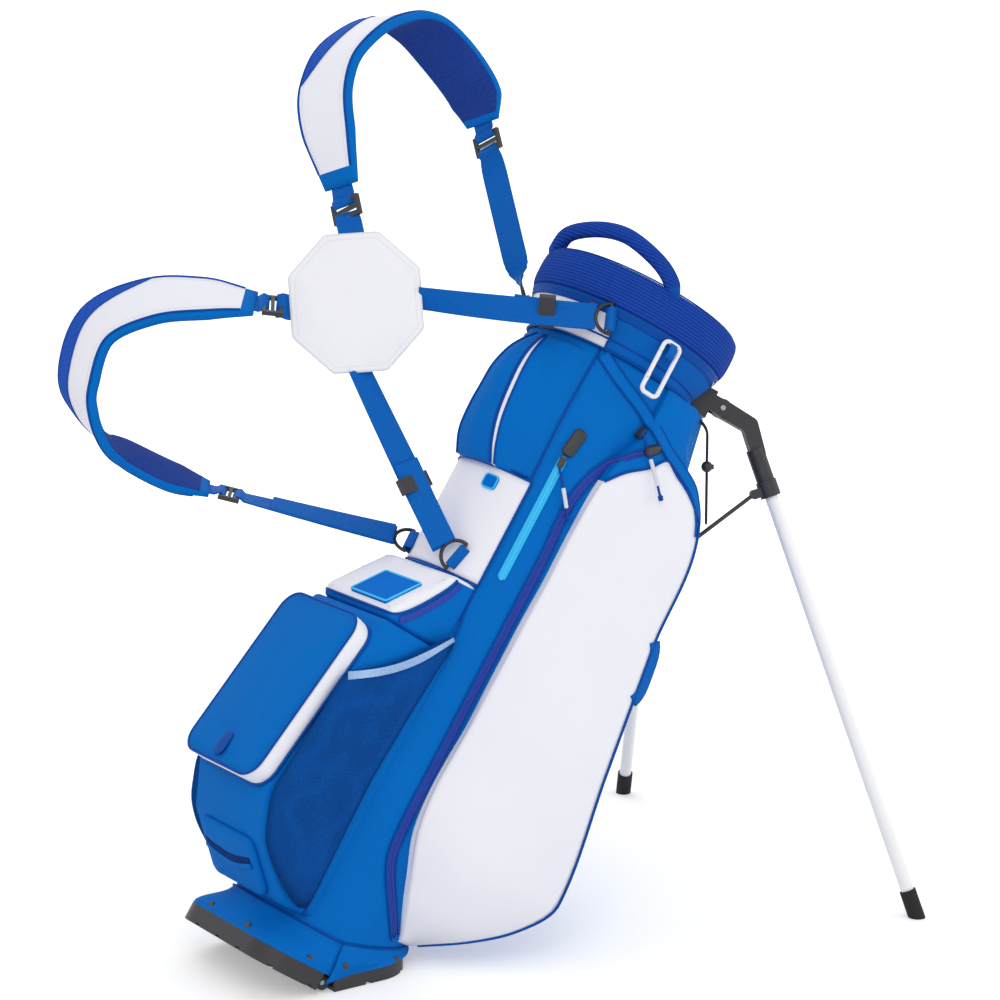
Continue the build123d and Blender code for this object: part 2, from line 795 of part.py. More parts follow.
def make_side_panel():
    sections = []
    for section in side_sections:
        if section[0] <= panel_top_share:
            outer, inner = side_outline(section, 0)[2:5], side_outline(section, panel_thickness)[2:5]
            sections.append(at_share(outer + inner[::-1], section[0]))
    return single(ring_loft(sections) - disc_stack(shell_radius, 0, bag_length))


side_pocket, side_panel = make_side_pocket(), make_side_panel()
pieces["side_pocket_near"], pieces["side_panel_near"] = side_pocket, side_panel
pieces["side_pocket_far"], pieces["side_panel_far"] = mirrored(side_pocket), mirrored(side_panel)


def line_point(column, share, reach_change=0.0):
    """A point on one of the near side pocket's corner lines, named by its column in the sections."""
    below = max(section for section in side_sections[:-1] if section[0] <= share)
    above = side_sections[side_sections.index(below) + 1]
    part = (share - below[0]) / (above[0] - below[0])
    low, high = [plan_point(section[column], section[column + 1] + reach_change)
                 for section in (below, above)]
    return low + (high - low) * part + up * pocket_level(share)


def edge_point(share, reach_change=0.0):
    return line_point(5, share, reach_change)


def make_pocket_zip():
    """The zip down the near side pocket's edge, on the narrow wall beside the white panel."""
    sections = []
    for share in (0.05, 0.1, 0.17, 0.39, 0.61, 0.83, 0.92):
        outer = edge_point(share, -panel_thickness)
        wall = Vector(outer.X - axis_offset, outer.Y, 0).normalized()
        side = Vector(wall.Y, -wall.X, 0) * zip_thickness
        inner = outer - wall * 12
        sections.append([outer, inner, inner + side, outer + side])
    return single(ring_loft(sections) - disc_stack(shell_radius, 0, bag_length) - side_pocket)


def make_keeper():
    """A tab on the side pocket's piped corner that holds the folded leg."""
    spots = []
    for height in (keeper_low, keeper_high):
        share = (height - side_pocket_bottom) / (side_pocket_top - side_pocket_bottom)
        spots.append(line_point(3, share))
    low, high = spots
    ends = [low - Vector(12, 0, 0), low + Vector(keeper_reach, 0, 0), high + Vector(keeper_reach, 0, 0),
            high - Vector(12, 0, 0)]
    normal = (ends[1] - ends[0]).cross(ends[3] - ends[0]).normalized()
    plate = extrude(make_face(Polyline(*ends, close=True)), keeper_thickness, dir=normal)
    return single(plate - side_pocket - side_panel)


# Ball pocket, lid pocket and mesh pockets down the spine side.
def profile(points, half_width):
    """A block with an outline in the plane of the bag's length, given as reach behind its centre line."""
    outline = [(axis_offset - reach, height) for reach, height in points]
    return extrude(make_face(Plane.XZ * Polyline(*outline, close=True)), half_width, both=True)


def slab_plane(depth):
    """The ball pocket's outer face, moved in by a depth; x is across and y up the face."""
    tilt = radians(ball_tilt)
    outward_way = Vector(-cos(tilt), 0, sin(tilt))
    origin = Vector(axis_offset - ball_reach, 0, ball_foot) - outward_way * depth
    return Plane(origin=origin, x_dir=(0, -1, 0), z_dir=outward_way)


def ball_slice(depth, thickness, inset):
    face = Pos(0, ball_height / 2) * RectangleRounded(
        ball_width - 2 * inset, ball_height - 2 * inset, ball_corner - inset)
    return extrude(slab_plane(depth + thickness) * face, thickness)


body_core = disc_stack(shell_radius, 0, bag_length)
slab_depth = ball_slab + ball_band
lean_in = tan(radians(ball_tilt))


def ball_back(height):
    """Reach of the ball pocket's body behind its slabs at a height."""
    return ball_reach - slab_depth / cos(radians(ball_tilt)) - (height - ball_foot) * lean_in


ball_mid = (ball_foot + ball_under) / 2
ball_profile = [
    (pocket_root, lid_bottom), (ball_back(lid_bottom), lid_bottom), (ball_back(ball_foot), ball_foot),
    (ball_back(ball_foot) - 26, ball_mid), (shell_radius + 10, ball_under), (pocket_root, ball_under)]
pieces["ball_pocket"] = single(profile(ball_profile, ball_width / 2) - body_core - pieces["lower_band"])
pieces["ball_gusset"] = ball_slice(ball_slab, ball_band, 4)
pieces["ball_panel"] = ball_slice(0, ball_slab, 0)
lid_profile = [
    (pocket_root, lid_bottom), (lid_front, lid_bottom), (lid_front, lid_bottom + lid_edge),
    (lid_back, lid_top - 2), (pocket_root, lid_top)]
pieces["lid_pocket"] = single(profile(lid_profile, lid_width / 2) - body_core)
lid_run = Vector(lid_front - lid_back, 0, lid_top - 2 - lid_bottom - lid_edge).normalized()
lid_middle = Vector(axis_offset - (lid_front + lid_back) / 2, 0, (lid_bottom + lid_edge + lid_top - 2) / 2)
lid_plane = Plane(origin=lid_middle, x_dir=lid_run, z_dir=(-lid_run.Z, 0, lid_run.X))
lid_patch = extrude(lid_plane * RectangleRounded(lid_patch_size, lid_patch_size, 8), lid_patch_thickness)


def mesh_outline(thickness, points):
    outline = [(axis_offset - reach, height) for reach, height in points]
    face = make_face(Plane.XZ * Polyline(*outline, close=True))
    return Pos(0, -ball_width / 2, 0) * extrude(face, thickness, dir=(0, -1, 0))


mesh_under = (ball_under + 4, (ball_under + ball_foot) / 2 + 4)
mesh_points = [
    (mesh_low, mesh_trim_high), (mesh_high, mesh_trim_low), (ball_back(ball_foot) - 6, ball_foot),
    (ball_back(ball_foot) - 32, mesh_under[1]), (shell_radius + 14, mesh_under[0]), (mesh_low, mesh_under[0])]
trim_points = [
    (mesh_low, mesh_trim_high), (mesh_high, mesh_trim_low),
    (mesh_high, mesh_trim_low - mesh_trim_width), (mesh_low, mesh_trim_high - mesh_trim_width)]
mesh_pocket = single(mesh_outline(mesh_thickness, mesh_points) - body_core - pieces["lower_band"])
mesh_trim = Pos(0, -mesh_thickness, 0) * mesh_outline(mesh_trim_thickness, trim_points)
pieces["mesh_pockets"] = group([mesh_pocket, mirrored(mesh_pocket), mesh_trim, mirrored(mesh_trim)])
under_start = Vector(axis_offset - ball_back(ball_foot) + 26, 0, ball_mid)
under_end = Vector(axis_offset - shell_radius - 10, 0, ball_under)
under_way = (under_start - under_end).normalized()
under_middle = (under_start + under_end) / 2
under_plane = Plane(origin=under_middle, x_dir=under_way, z_dir=(-under_way.Z, 0, under_way.X))
under_plane = under_plane if under_plane.z_dir.Z < 0 else Plane(
    origin=under_plane.origin, x_dir=under_way, z_dir=-under_plane.z_dir)
under_length = (under_start - under_end).length - 8
pieces["drink_pocket"] = single(extrude(
    under_plane * RectangleRounded(under_length, drink_width, 12), drink_thickness) - pieces["base_cup"])


# Spine panel, its badge, the upper pouch and the zips on the near side.
pieces["spine_panel"] = patch(spine_panel_start, spine_panel_end, lid_top + touch_gap, spine_panel_top,
                              shell_radius, shell_radius + fabric_patch)
badge_height = spine_panel_top - 18.0
spine_badge = stud(160, badge_height, shell_radius - 10, shell_radius + 2 * fabric_patch, 9)
pieces["badges"] = group([lid_patch, spine_badge - disc_stack(shell_radius + fabric_patch, 0, bag_length)])


def make_pouch():
    """A pocket that stands out from the spine between two ridges, hollow towards its seams."""
    bottom = spine_panel_top + touch_gap
    height = shell_top - pouch_top_gap - bottom
    sections = []
    for share, ridge, lift in pouch_ridge:
        half = [(pouch_root, -2), (pouch_valley, min(lift, pouch_valley_lift)), (ridge, lift)]
        other = [(360 - angle, rise) for angle, rise in half[::-1]]
        outline = half + [(180, lift + pouch_crown * lift / pouch_ridge[3][2])] + other
        level = up * (bottom + share * height)
        sections.append([plan_point(angle, shell_radius + rise) + level for angle, rise in outline])
    return single(ring_loft(sections) - body_core)


pieces["upper_pouch"] = make_pouch()


def zip_strip(start, end):
    strip = patch(zip_angle - 10, zip_angle + 10, start, end, shell_radius, shell_radius + zip_thickness)
    middle = outward(zip_angle)
    plane = Plane(origin=Vector(axis_offset, 0, start), x_dir=middle, z_dir=up)
    return single(strip & (plane * block(0, far, -zip_width / 2, zip_width / 2, 0, end - start)))


def tag(angle, height, length, width, thickness, reach):
    """A flat moulded block lying on the body at an angle."""
    plane = Plane(origin=on_body(angle, reach, height), x_dir=up, z_dir=outward(angle))
    return extrude(plane * RectangleRounded(length, width, min(length, width) * 0.3), thickness)


garage_place = side_zip_top + garage_length / 2 + touch_gap
garage_depth = garage_thickness + 1
side_garage = tag(zip_angle, garage_place, garage_length, garage_width, garage_depth, shell_radius - 1)
side_zip = zip_strip(side_zip_bottom, side_zip_top)
pieces["zips"] = group([side_zip, side_garage - body_core, make_pocket_zip()])
slider_place = side_zip_top - slider_length / 2 - 1
slider_seat = shell_radius + zip_thickness + touch_gap
side_slider = tag(zip_angle, slider_place, slider_length, slider_width, slider_thickness, slider_seat)
pieces["side_zip_slider"] = side_slider


# Carrying handle, rivets and the rings' webbing tabs.
def cuff_reach(height):
    """Outer reach of the cuff at a height."""
    share = (height - shell_top - 12) / (cuff_height - 12)
    return shell_radius + 2 + (cuff_radius - shell_radius - 2) * max(0.0, min(1.0, share))


def wire_path(points, radii, radius):
    path = FilletPolyline(*points, radius=radii)
    return sweep(Plane(origin=path @ 0, z_dir=path % 0) * Circle(radius), path=path)


def make_handle():
    middle = rim_radius - rim_thickness / 2
    spots = [on_body(206, middle, bag_length - rim_height / 3),
             on_body(158, middle - 8, bag_length + handle_rise - handle_radius / 2),
             on_body(113, middle, bag_length - rim_height / 3)]
    arch = ThreePointArc(*spots)
    whole = sweep(Plane(origin=arch @ 0, z_dir=arch % 0) * Circle(handle_radius), path=arch)
    return single(whole & block(-far, far, -far, far, bag_length, far))


pieces["top_handle"] = make_handle()
rivet_angles = (46, 94, 150, 210, 266, 314)
rivet_height = cuff_top - 7


def cuff_rivets():
    reach = cuff_reach(rivet_height)
    return [stud(angle, rivet_height, reach - 4, reach + rivet_head, rivet_radius) - pieces["top_cuff"]
            for angle in rivet_angles]


def band_rivets():
    heads = []
    for y in (-40, 40):
        start, end = (-base_back + 4.4, y, base_rim + 7), (-base_back + 1, y, base_rim + 7)
        heads.append(rod(start, end, rivet_radius))
    for side in (-1, 1):
        start, end = base_width / 2 - 5, base_width / 2 - 1.5
        heads.append(rod((-36, side * start, base_rim + 7), (-36, side * end, base_rim + 7), rivet_radius))
    return [head - pieces["lower_band"] for head in heads]


pieces["rivets"] = group(cuff_rivets() + band_rivets())


# Harness: octagon, pads, rings, webbing and buckles.
octagon_middle = Vector(axis_offset - octagon_out, octagon_side, bag_length - octagon_drop)
octagon_normal = Vector(-0.579, -0.805, -0.13).normalized()
octagon_right = Vector(0.68, -0.507, 0.524)
octagon_right = (octagon_right - octagon_normal * octagon_right.dot(octagon_normal)).normalized()
octagon_up = octagon_normal.cross(octagon_right)
octagon_plane = Plane(origin=octagon_middle, x_dir=octagon_right, z_dir=octagon_normal)


def make_octagon():
    w, h, c = octagon_width / 2, octagon_height / 2, octagon_cut
    half = [(w, h - c), (w - c, h), (c - w, h), (-w, h - c)]
    points = half + [(-x, -y) for x, y in half]
    return extrude(octagon_plane * make_face(Polyline(*points, close=True)), octagon_depth / 2, both=True)


def route(offsets):
    return [octagon_middle + Vector(*offset) for offset in offsets]


def ring_at(angle, height, reach, toward, bar_way):
    """A ring's bar centre, its way out and its bar's direction, which lies flat against the bag."""
    place = on_body(angle, reach, height)
    normal = outward(angle)
    bar = Vector(*bar_way)
    bar = (bar - normal * bar.dot(normal)).normalized()
    out = toward - place
    out = (out - bar * out.dot(bar)).normalized()
    return place, (out + normal * max(0.0, 0.35 - out.dot(normal))).normalized(), bar


def make_ring(place, out, bar):
    half = ring_width / 2
    plane = Plane(origin=place, x_dir=bar, z_dir=bar.cross(out))
    arc = ThreePointArc((half, 0), (0, ring_depth), (-half, 0))
    path = plane * arc
    bow = sweep(Plane(origin=path @ 0, z_dir=path % 0) * Circle(ring_wire), path=path)
    ends = [Pos(*(place + bar * side)) * Sphere(ring_wire) for side in (-half, half)]
    return single(bow + rod(place - bar * half, place + bar * half, ring_wire) + ends)


def make_tab(place, bar, angle, neighbours):
    """Webbing from the bag out to a ring's bar, shaped round it."""
    inner = outward(angle)
    strip = band([place - inner * 14, place], [bar, bar], web_width - 4, tab_thickness)
    return single(strip - neighbours)


upper_pad = route(upper_pad_route)
lower_pad = route(lower_pad_route)
upper_across = [Vector(*way) for way in upper_pad_across]
lower_across = [Vector(*way) for way in lower_pad_across]
right_edge = octagon_middle + octagon_right * (octagon_width / 2 + touch_gap)
left_edge = octagon_middle - octagon_right * (octagon_width / 2 + touch_gap)
top_edge = octagon_middle + octagon_up * (octagon_height / 2 + touch_gap)
bottom_edge = octagon_middle - octagon_up * (octagon_height / 2 + touch_gap)
cuff_ring_reach = cuff_reach(upper_ring_height) + 10.5
body_ring_reach = shell_radius + fabric_patch + 6
rings = {
    "a": ring_at(226, upper_ring_height, cuff_ring_reach, upper_pad[-1], (0.72, 0.69, 0)),
    "b": ring_at(137, upper_ring_height, cuff_ring_reach, right_edge, (0.69, 0.3, -0.66)),
    "c": ring_at(212, lower_ring_height, body_ring_reach, lower_pad[-1], (-0.13, -0.63, -0.77)),
    "d": ring_at(155, lower_ring_height, body_ring_reach, bottom_edge, (0.68, 0.11, 0.72))}
ring_angles = {"a": 226, "b": 137, "c": 212, "d": 155}
pieces["strap_rings"] = group([make_ring(*ring) for ring in rings.values()])
tab_neighbours = [pieces["top_cuff"], body_core, pieces["spine_panel"], pieces["strap_rings"]]
ring_tabs = [make_tab(ring[0], ring[2], ring_angles[key], tab_neighbours) for key, ring in rings.items()]


def make_pad(points, across):
    return band(points, across, pad_width, pad_depth)


def square_to(way, across):
    return (across - way * across.dot(way)).normalized()


def make_buckle(middle, way, across):
    """A moulded buckle with two slots, lying in the strap."""
    plane = Plane(origin=middle, x_dir=way, z_dir=way.cross(across))
    slot = (buckle_length - 3 * buckle_bar) / 2
    frame = Box(buckle_length, buckle_width, buckle_thickness)
    shift = (slot + buckle_bar) / 2
    slots = [Pos(x, 0, 0) * Box(slot, web_width + 2, buckle_thickness) for x in (-shift, shift)]
    return plane * (frame - slots)


def strap_run(start, end, across, buckle_places, neighbours):
    """Webbing between two points with buckles let into it, cut where it meets its neighbours."""
    way = (end - start).normalized()
    across = square_to(way, across)
    webs, buckles = [], []
    cursor = start - way * 6
    for place in buckle_places:
        buckle_start = start + way * (place - buckle_length / 2)
        webs.append(band([cursor, buckle_start], [across, across], web_width, web_thickness))
        buckles.append(make_buckle(start + way * place, way, across))
        cursor = buckle_start + way * buckle_length
    webs.append(band([cursor, end], [across, across], web_width, web_thickness))
    return [single(piece - neighbours) for piece in webs], buckles


def ring_end(key):
    place, out, _ = rings[key]
    return place + out * ring_depth


def make_glide(start, end, across, share):
    """A sliding keeper round a strap."""
    way = (end - start).normalized()
    across = square_to(way, across)
    plane = Plane(origin=start + (end - start) * share, x_dir=way, z_dir=way.cross(across))
    frame = Box(glide_length, buckle_width, glide_thickness)
    frame = frame - Box(far, web_width + 2 * touch_gap, web_thickness + 2 * touch_gap)
    return plane * frame, way


pieces["octagon_pad"] = make_octagon()
pieces["upper_shoulder_pad"] = make_pad(upper_pad, upper_across)
pieces["lower_shoulder_pad"] = make_pad(lower_pad, lower_across)
soft_ends = [pieces["octagon_pad"], pieces["upper_shoulder_pad"], pieces["lower_shoulder_pad"]]
strap_ends = soft_ends + [pieces["strap_rings"]]
near_upper = (right_edge, ring_end("b"), Vector(0.7, 0.33, -0.63))
near_lower = (bottom_edge, ring_end("d"), Vector(0.85, 0, 0.53))
upper_gap = (upper_pad[0] - top_edge).length
lower_gap = (lower_pad[0] - left_edge).length
upper_lead = (upper_pad[0] - top_edge).normalized() * 6
lower_lead = (lower_pad[0] - left_edge).normalized() * 6
runs = [
    (top_edge, upper_pad[0] + upper_lead, upper_across[0], [upper_gap / 2]),
    (left_edge, lower_pad[0] + lower_lead, lower_across[0], [lower_gap / 2]),
    (upper_pad[-1], ring_end("a"), upper_across[-1], [buckle_length]),
    (lower_pad[-1], ring_end("c"), lower_across[-1], [buckle_length]),
    (*near_upper, []), (*near_lower, [])]
made_runs = [strap_run(*run, strap_ends) for run in runs]
pieces["harness_webbing"] = group([piece for webs, _ in made_runs for piece in webs])
pieces["strap_buckles"] = group([piece for _, buckles in made_runs for piece in buckles])
pieces["upper_tri_glide"], upper_glide_way = make_glide(*near_upper, upper_glide_share)
pieces["lower_tri_glide"], lower_glide_way = make_glide(*near_lower, lower_glide_share)


# Carabiner on its tab, with a sprung gate.
clip_reach = cuff_reach(clip_height) + clip_wire + 1.0
clip_across = outward(clip_angle - 90)
clip_normal = outward(clip_angle)
clip_plane = Plane(origin=on_body(clip_angle, clip_reach, clip_height), x_dir=clip_across, z_dir=clip_normal)
clip_side = clip_width / 2 - clip_wire
clip_low = clip_length - 2 * clip_wire


def clip_point(x, y):
    return clip_plane.from_local_coords(Vector(x, -y, 0))


def make_clip():
    points = [clip_point(*spot) for spot in (
        (-clip_side, clip_gate_top), (-clip_side, 0), (clip_side, 0), (clip_side, clip_low),
        (-clip_side, clip_low), (-clip_side, clip_gate_bottom))]
    bow = wire_path(points, [clip_corner, clip_corner, clip_corner, clip_corner], clip_wire)
    tongue_place = clip_plane * Pos(-clip_side, -clip_gate_bottom + 3, 0)
    tongue = tongue_place * Box(2 * clip_wire, clip_tongue_length, clip_tongue)
    middle = clip_point(-clip_side, clip_gate_bottom - 4)
    pin = rod(middle - clip_normal * clip_wire, middle + clip_normal * clip_wire, clip_pin)
    return single(bow + tongue + pin)


def make_gate():
    top, bottom = clip_gate_top + touch_gap, clip_gate_bottom - 1
    bar = rod(clip_point(-clip_side, top), clip_point(-clip_side, bottom), clip_wire)
    slit_place = clip_plane * Pos(-clip_side, -clip_gate_bottom + 3, 0)
    slit = slit_place * Box(30, clip_tongue_length + 3, clip_tongue + 2 * touch_gap)
    middle = clip_point(-clip_side, clip_gate_bottom - 4)
    hole = rod(middle - clip_normal * 20, middle + clip_normal * 20, clip_pin + pin_clearance)
    return single(bar - slit - hole)


def make_clip_tab():
    """A webbing loop from the cuff round the carabiner's top bar."""
    middle = clip_point(0, 0)
    side = clip_across * clip_tab_width / 2
    wrap = rod(middle - side, middle + side, clip_wire + 2)
    plane = Plane(origin=middle, x_dir=clip_normal, z_dir=up)
    hole = rod(middle - clip_across * 30, middle + clip_across * 30, clip_wire + pin_clearance)
    strip = plane * block(-16, 0, -clip_tab_width / 2, clip_tab_width / 2, 0, clip_wire + 2)
    return single(wrap + strip - hole - pieces["top_cuff"])


pieces["carabiner"] = make_clip()
pieces["carabiner_gate"] = make_gate()
pieces["webbing_tabs"] = group(ring_tabs + [make_clip_tab(), make_keeper(), mirrored(make_keeper())])


# Bungee loop with its ball lock, and the zips' pull cords, all hanging straight down in the standing pose.
down = Vector(sin(lean), 0, -cos(lean))
cord_side = outward(cord_angle + 90)
cord_height = shell_top - 4


def strand_points(shift):
    foot = on_body(cord_angle, shell_radius - 0.5, cord_height) + cord_side * shift
    turn = foot + outward(cord_angle) * cord_reach
    return [foot, turn, turn + down * cord_fall]


def make_bungee():
    first, second = strand_points(-cord_spacing / 2), strand_points(cord_spacing / 2)
    bend = cord_spacing / 2 - 0.1
    cord = wire_path(first + second[::-1], [cord_exit_radius, bend, bend, cord_exit_radius], cord_radius)
    return single(cord - body_core - side_pocket - side_panel)


def make_lock():
    middle = strand_points(0)[1] + down * lock_fall
    holes = [rod(middle + cord_side * shift - down * 20, middle + cord_side * shift + down * 20,
                 cord_radius + touch_gap / 2) for shift in (-cord_spacing / 2, cord_spacing / 2)]
    way = down.cross(cord_side).normalized()
    way = way if way.X > 0 else -way
    bore = rod(middle + way * 2.6, middle + way * 20, button_radius + pin_clearance)
    ball = single(Pos(*middle) * Sphere(lock_radius) - holes - bore)
    start = middle + way * (2.6 + button_travel)
    return ball, rod(start, start + way * button_length, button_radius), way


pieces["bungee_cord"] = make_bungee()
pieces["cord_lock"], pieces["cord_lock_button"], button_way = make_lock()


def hanging_pull(start, fall, spread):
    """A pull cord with a sleeve and a knot, hanging from a slider and lying out along the fabric."""
    end = start + down * fall + Vector(0, -spread, 0)
    way = (end - start).normalized()
    length = (end - start).length
    sleeve = rod(start + way * length * 0.42, start + way * length * 0.8, sleeve_radius)
    return single(rod(start, end, pull_radius) + sleeve + Pos(*end) * Sphere(knot_radius))


side_pull_start = on_body(zip_angle, slider_seat + slider_thickness * 0.6, slider_place - slider_length / 2)
pieces["side_pull_cord"] = hanging_pull(side_pull_start, side_pull_fall, 17) - pieces["side_zip_slider"]
run_high, run_low = (edge_point(share, 0.3 - slider_width / 2) for share in (0.92, 0.83))
pocket_run = (run_low - run_high).length
pocket_zip_way = (run_low - run_high).normalized()
wall_way = Vector(run_high.X - axis_offset, run_high.Y, 0).normalized()
wall_way = square_to(pocket_zip_way, wall_way)
slider_normal = wall_way.cross(pocket_zip_way).normalized()
slider_normal = slider_normal if slider_normal.X < 0 else -slider_normal
slider_lift = zip_thickness + touch_gap + slider_thickness / 2 + 0.6
slider_middle = run_high + pocket_zip_way * (slider_length / 2 + 1) + slider_normal * slider_lift
slider_plane = Plane(origin=slider_middle, x_dir=pocket_zip_way, z_dir=slider_normal)
pieces["pocket_zip_slider"] = slider_plane * Box(slider_length, slider_width, slider_thickness)
pocket_pull_start = slider_middle + slider_normal * 3 + wall_way * (slider_width / 2 + 1)
pieces["pocket_pull_cord"] = hanging_pull(pocket_pull_start, pocket_pull_fall, 36)


def world_point(point):
    return (bag_pose() * Pos(*point)).position / 1000


def world_way(way):
    return world_point(way) * 1000 - world_point((0, 0, 0)) * 1000


def show_joint(name, point, way, travel):
    place, axis = world_point(point), world_way(way)
    numbers = [[round(value, 6) for value in spot] for spot in (place, axis)]
    print("joint", name, *numbers, round(travel, 6))


def flipped(way):
    return Vector(-way.X, way.Y, -way.Z)


def across_to_far(point):
    return Vector(point.X, -point.Y, point.Z)


def write_parts():
    os.makedirs("parts", exist_ok=True)
    for name, piece in pieces.items():
        export_step(bag_pose() * piece, f"parts/{name}.step")


def show_joints():
    show_joint("foot_plate_hinge", (0, 0, pin_height), (0, 1, 0), lean_angle)
    show_joint("stand_slide", yoke_point, -up, rod_travel / 1000)
    show_joint("leg_near_hinge", pivot, leg_axis, degrees(leg_swing))
    show_joint("leg_far_hinge", across_to_far(pivot), flipped(leg_axis), degrees(leg_swing))
    show_joint("strut_near_hinge", collar_point, strut_axis, degrees(strut_swing))
    show_joint("strut_far_hinge", across_to_far(collar_point), flipped(strut_axis), degrees(strut_swing))
    show_joint("clip_swing", clip_point(0, 0), -clip_across, 60)
    show_joint("clip_gate_hinge", clip_point(-clip_side, clip_gate_bottom - 4), -clip_normal, 28)
    show_joint("side_zip_slide", on_body(zip_angle, slider_seat, slider_place), -up,
               (side_zip_top - side_zip_bottom - slider_length - 4) / 1000)
    show_joint("pocket_zip_slide", slider_middle, pocket_zip_way, (pocket_run - slider_length - 4) / 1000)
    upper_length = (near_upper[1] - near_upper[0]).length
    lower_length = (near_lower[1] - near_lower[0]).length
    show_joint("upper_glide_slide", near_upper[0] + upper_glide_way * upper_length * upper_glide_share,
               -upper_glide_way, upper_length * glide_travel / 1000)
    show_joint("lower_glide_slide", near_lower[0] + lower_glide_way * lower_length * lower_glide_share,
               -lower_glide_way, lower_length * glide_travel / 1000)
    lock_middle = strand_points(0)[1] + down * lock_fall
    show_joint("cord_lock_slide", lock_middle, -down, (lock_fall - lock_radius - 14) / 1000)
    show_joint("cord_lock_press", lock_middle, -button_way, button_travel / 1000)


write_parts()
show_joints()
strand = strand_points(0)
loop_length = 2 * ((strand[1] - strand[0]).length + (strand[2] - strand[1]).length) + cord_spacing
print("cord lengths", round(loop_length, 1), side_pull_fall, pocket_pull_fall, "loop radii",
      cord_exit_radius, cord_spacing / 2 - 0.1)
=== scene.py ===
import math
import bmesh
import bpy
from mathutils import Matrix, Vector, noise
from mathutils.bvhtree import BVHTree


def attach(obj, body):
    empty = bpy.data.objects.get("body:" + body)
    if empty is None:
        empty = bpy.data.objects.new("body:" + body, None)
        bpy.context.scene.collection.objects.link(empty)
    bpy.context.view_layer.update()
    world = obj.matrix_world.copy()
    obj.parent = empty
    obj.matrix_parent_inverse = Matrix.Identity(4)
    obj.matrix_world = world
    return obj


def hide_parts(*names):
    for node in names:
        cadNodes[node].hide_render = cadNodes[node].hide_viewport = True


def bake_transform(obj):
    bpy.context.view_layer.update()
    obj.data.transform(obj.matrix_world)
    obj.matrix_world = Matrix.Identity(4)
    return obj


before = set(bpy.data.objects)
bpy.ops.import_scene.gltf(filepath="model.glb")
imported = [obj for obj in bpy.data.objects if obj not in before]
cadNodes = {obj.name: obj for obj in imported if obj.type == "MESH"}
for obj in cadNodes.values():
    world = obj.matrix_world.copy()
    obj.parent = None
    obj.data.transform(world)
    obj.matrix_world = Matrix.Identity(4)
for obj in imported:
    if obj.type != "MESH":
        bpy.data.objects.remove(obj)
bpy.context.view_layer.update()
bpy.ops.object.select_all(action="DESELECT")
scene = bpy.context.scene

# The bag leans: its own frame has z up its length, x towards the legs, y across it, in millimetres.
bag = {"lean": 34.0, "axis": 26.0, "pinHeight": 10.0, "soleCentre": 60.0}
leanCos, leanSin = math.cos(math.radians(bag["lean"])), math.sin(math.radians(bag["lean"]))


def bagWay(x, y, z):
    return Vector((x * leanCos + z * leanSin, y, -x * leanSin + z * leanCos))


def bagPoint(x, y, z):
    shift = Vector((-bag["soleCentre"], 0, bag["pinHeight"]))
    return (bagWay(x, y, z - bag["pinHeight"]) + shift) / 1000


def toBag(point):
    # Back from metres in the standing frame to millimetres on the bag.
    x, y, z = point.x * 1000 + bag["soleCentre"], point.y * 1000, point.z * 1000 - bag["pinHeight"]
    return Vector((x * leanCos - z * leanSin, y, x * leanSin + z * leanCos + bag["pinHeight"]))


def flatAngle(angle, reach):
    turn = math.radians(angle)
    return bag["axis"] + reach * math.cos(turn), -reach * math.sin(turn)


def onBag(angle, reach, height):
    # Angle 0 is the belly between the legs, 90 the near side and 180 the spine.
    x, y = flatAngle(angle, reach)
    return bagPoint(x, y, height)


def outWay(angle):
    turn = math.radians(angle)
    return bagWay(math.cos(turn), -math.sin(turn), 0)


def mirrored(point):
    return Vector((point.x, -point.y, point.z))


bagUp = bagWay(0, 0, 1)
hangDown = Vector((0, 0, -1))

# Camera.
shot = {"azimuth": -34.5, "elevation": 12.5, "distance": 3.5, "lens": 112.1, "target": (0.2375, 0.0, 0.4897)}
turn, rise = math.radians(shot["azimuth"]), math.radians(shot["elevation"])
back = Vector((math.sin(turn) * math.cos(rise), -math.cos(turn) * math.cos(rise), math.sin(rise)))
bpy.ops.object.camera_add(location=Vector(shot["target"]) + back * shot["distance"],
                          rotation=back.to_track_quat("Z", "Y").to_euler())
camera = bpy.context.object
camera.name = "camera"
camera.data.sensor_width = 36
camera.data.lens = shot["lens"]
scene.camera = camera
print("camera placed")


# Materials.
def plain(r, g, b):
    # A colour given as it looks on screen, 0 to 255, made linear.
    parts = [c / 255 for c in (r, g, b)]
    return [c / 12.92 if c <= 0.04045 else ((c + 0.055) / 1.055) ** 2.4 for c in parts] + [1.0]


def addNode(tree, kind, **settings):
    made = tree.nodes.new(kind)
    for key, value in settings.items():
        setattr(made, key, value)
    return made


def fill(tree, node, values):
    # Gives a node's inputs a value each, or links them to another node's output.
    for key, value in values.items():
        if isinstance(value, bpy.types.NodeSocket):
            tree.links.new(value, node.inputs[key])
        else:
            node.inputs[key].default_value = value
    return node


def mathNode(tree, operation, *values):
    made = addNode(tree, "ShaderNodeMath", operation=operation)
    return fill(tree, made, dict(enumerate(values))).outputs[0]


def product(tree, a, b):
    return mathNode(tree, "MULTIPLY", a, b)


def added(tree, first, *others):
    for value in others:
        first = mathNode(tree, "ADD", first, value)
    return first


def mapped(tree, source, scale, rotation=(0, 0, 0)):
    mapping = addNode(tree, "ShaderNodeMapping")
    return fill(tree, mapping, {"Scale": scale, "Rotation": rotation, "Vector": source}).outputs["Vector"]


def bagCoords(tree, scale):
    # Object coordinates turned to lie along the bag.
    coords = addNode(tree, "ShaderNodeTexCoord")
    turned = mapped(tree, coords.outputs["Object"], (1, 1, 1), (0, -math.radians(bag["lean"]), 0))
    return mapped(tree, turned, scale)


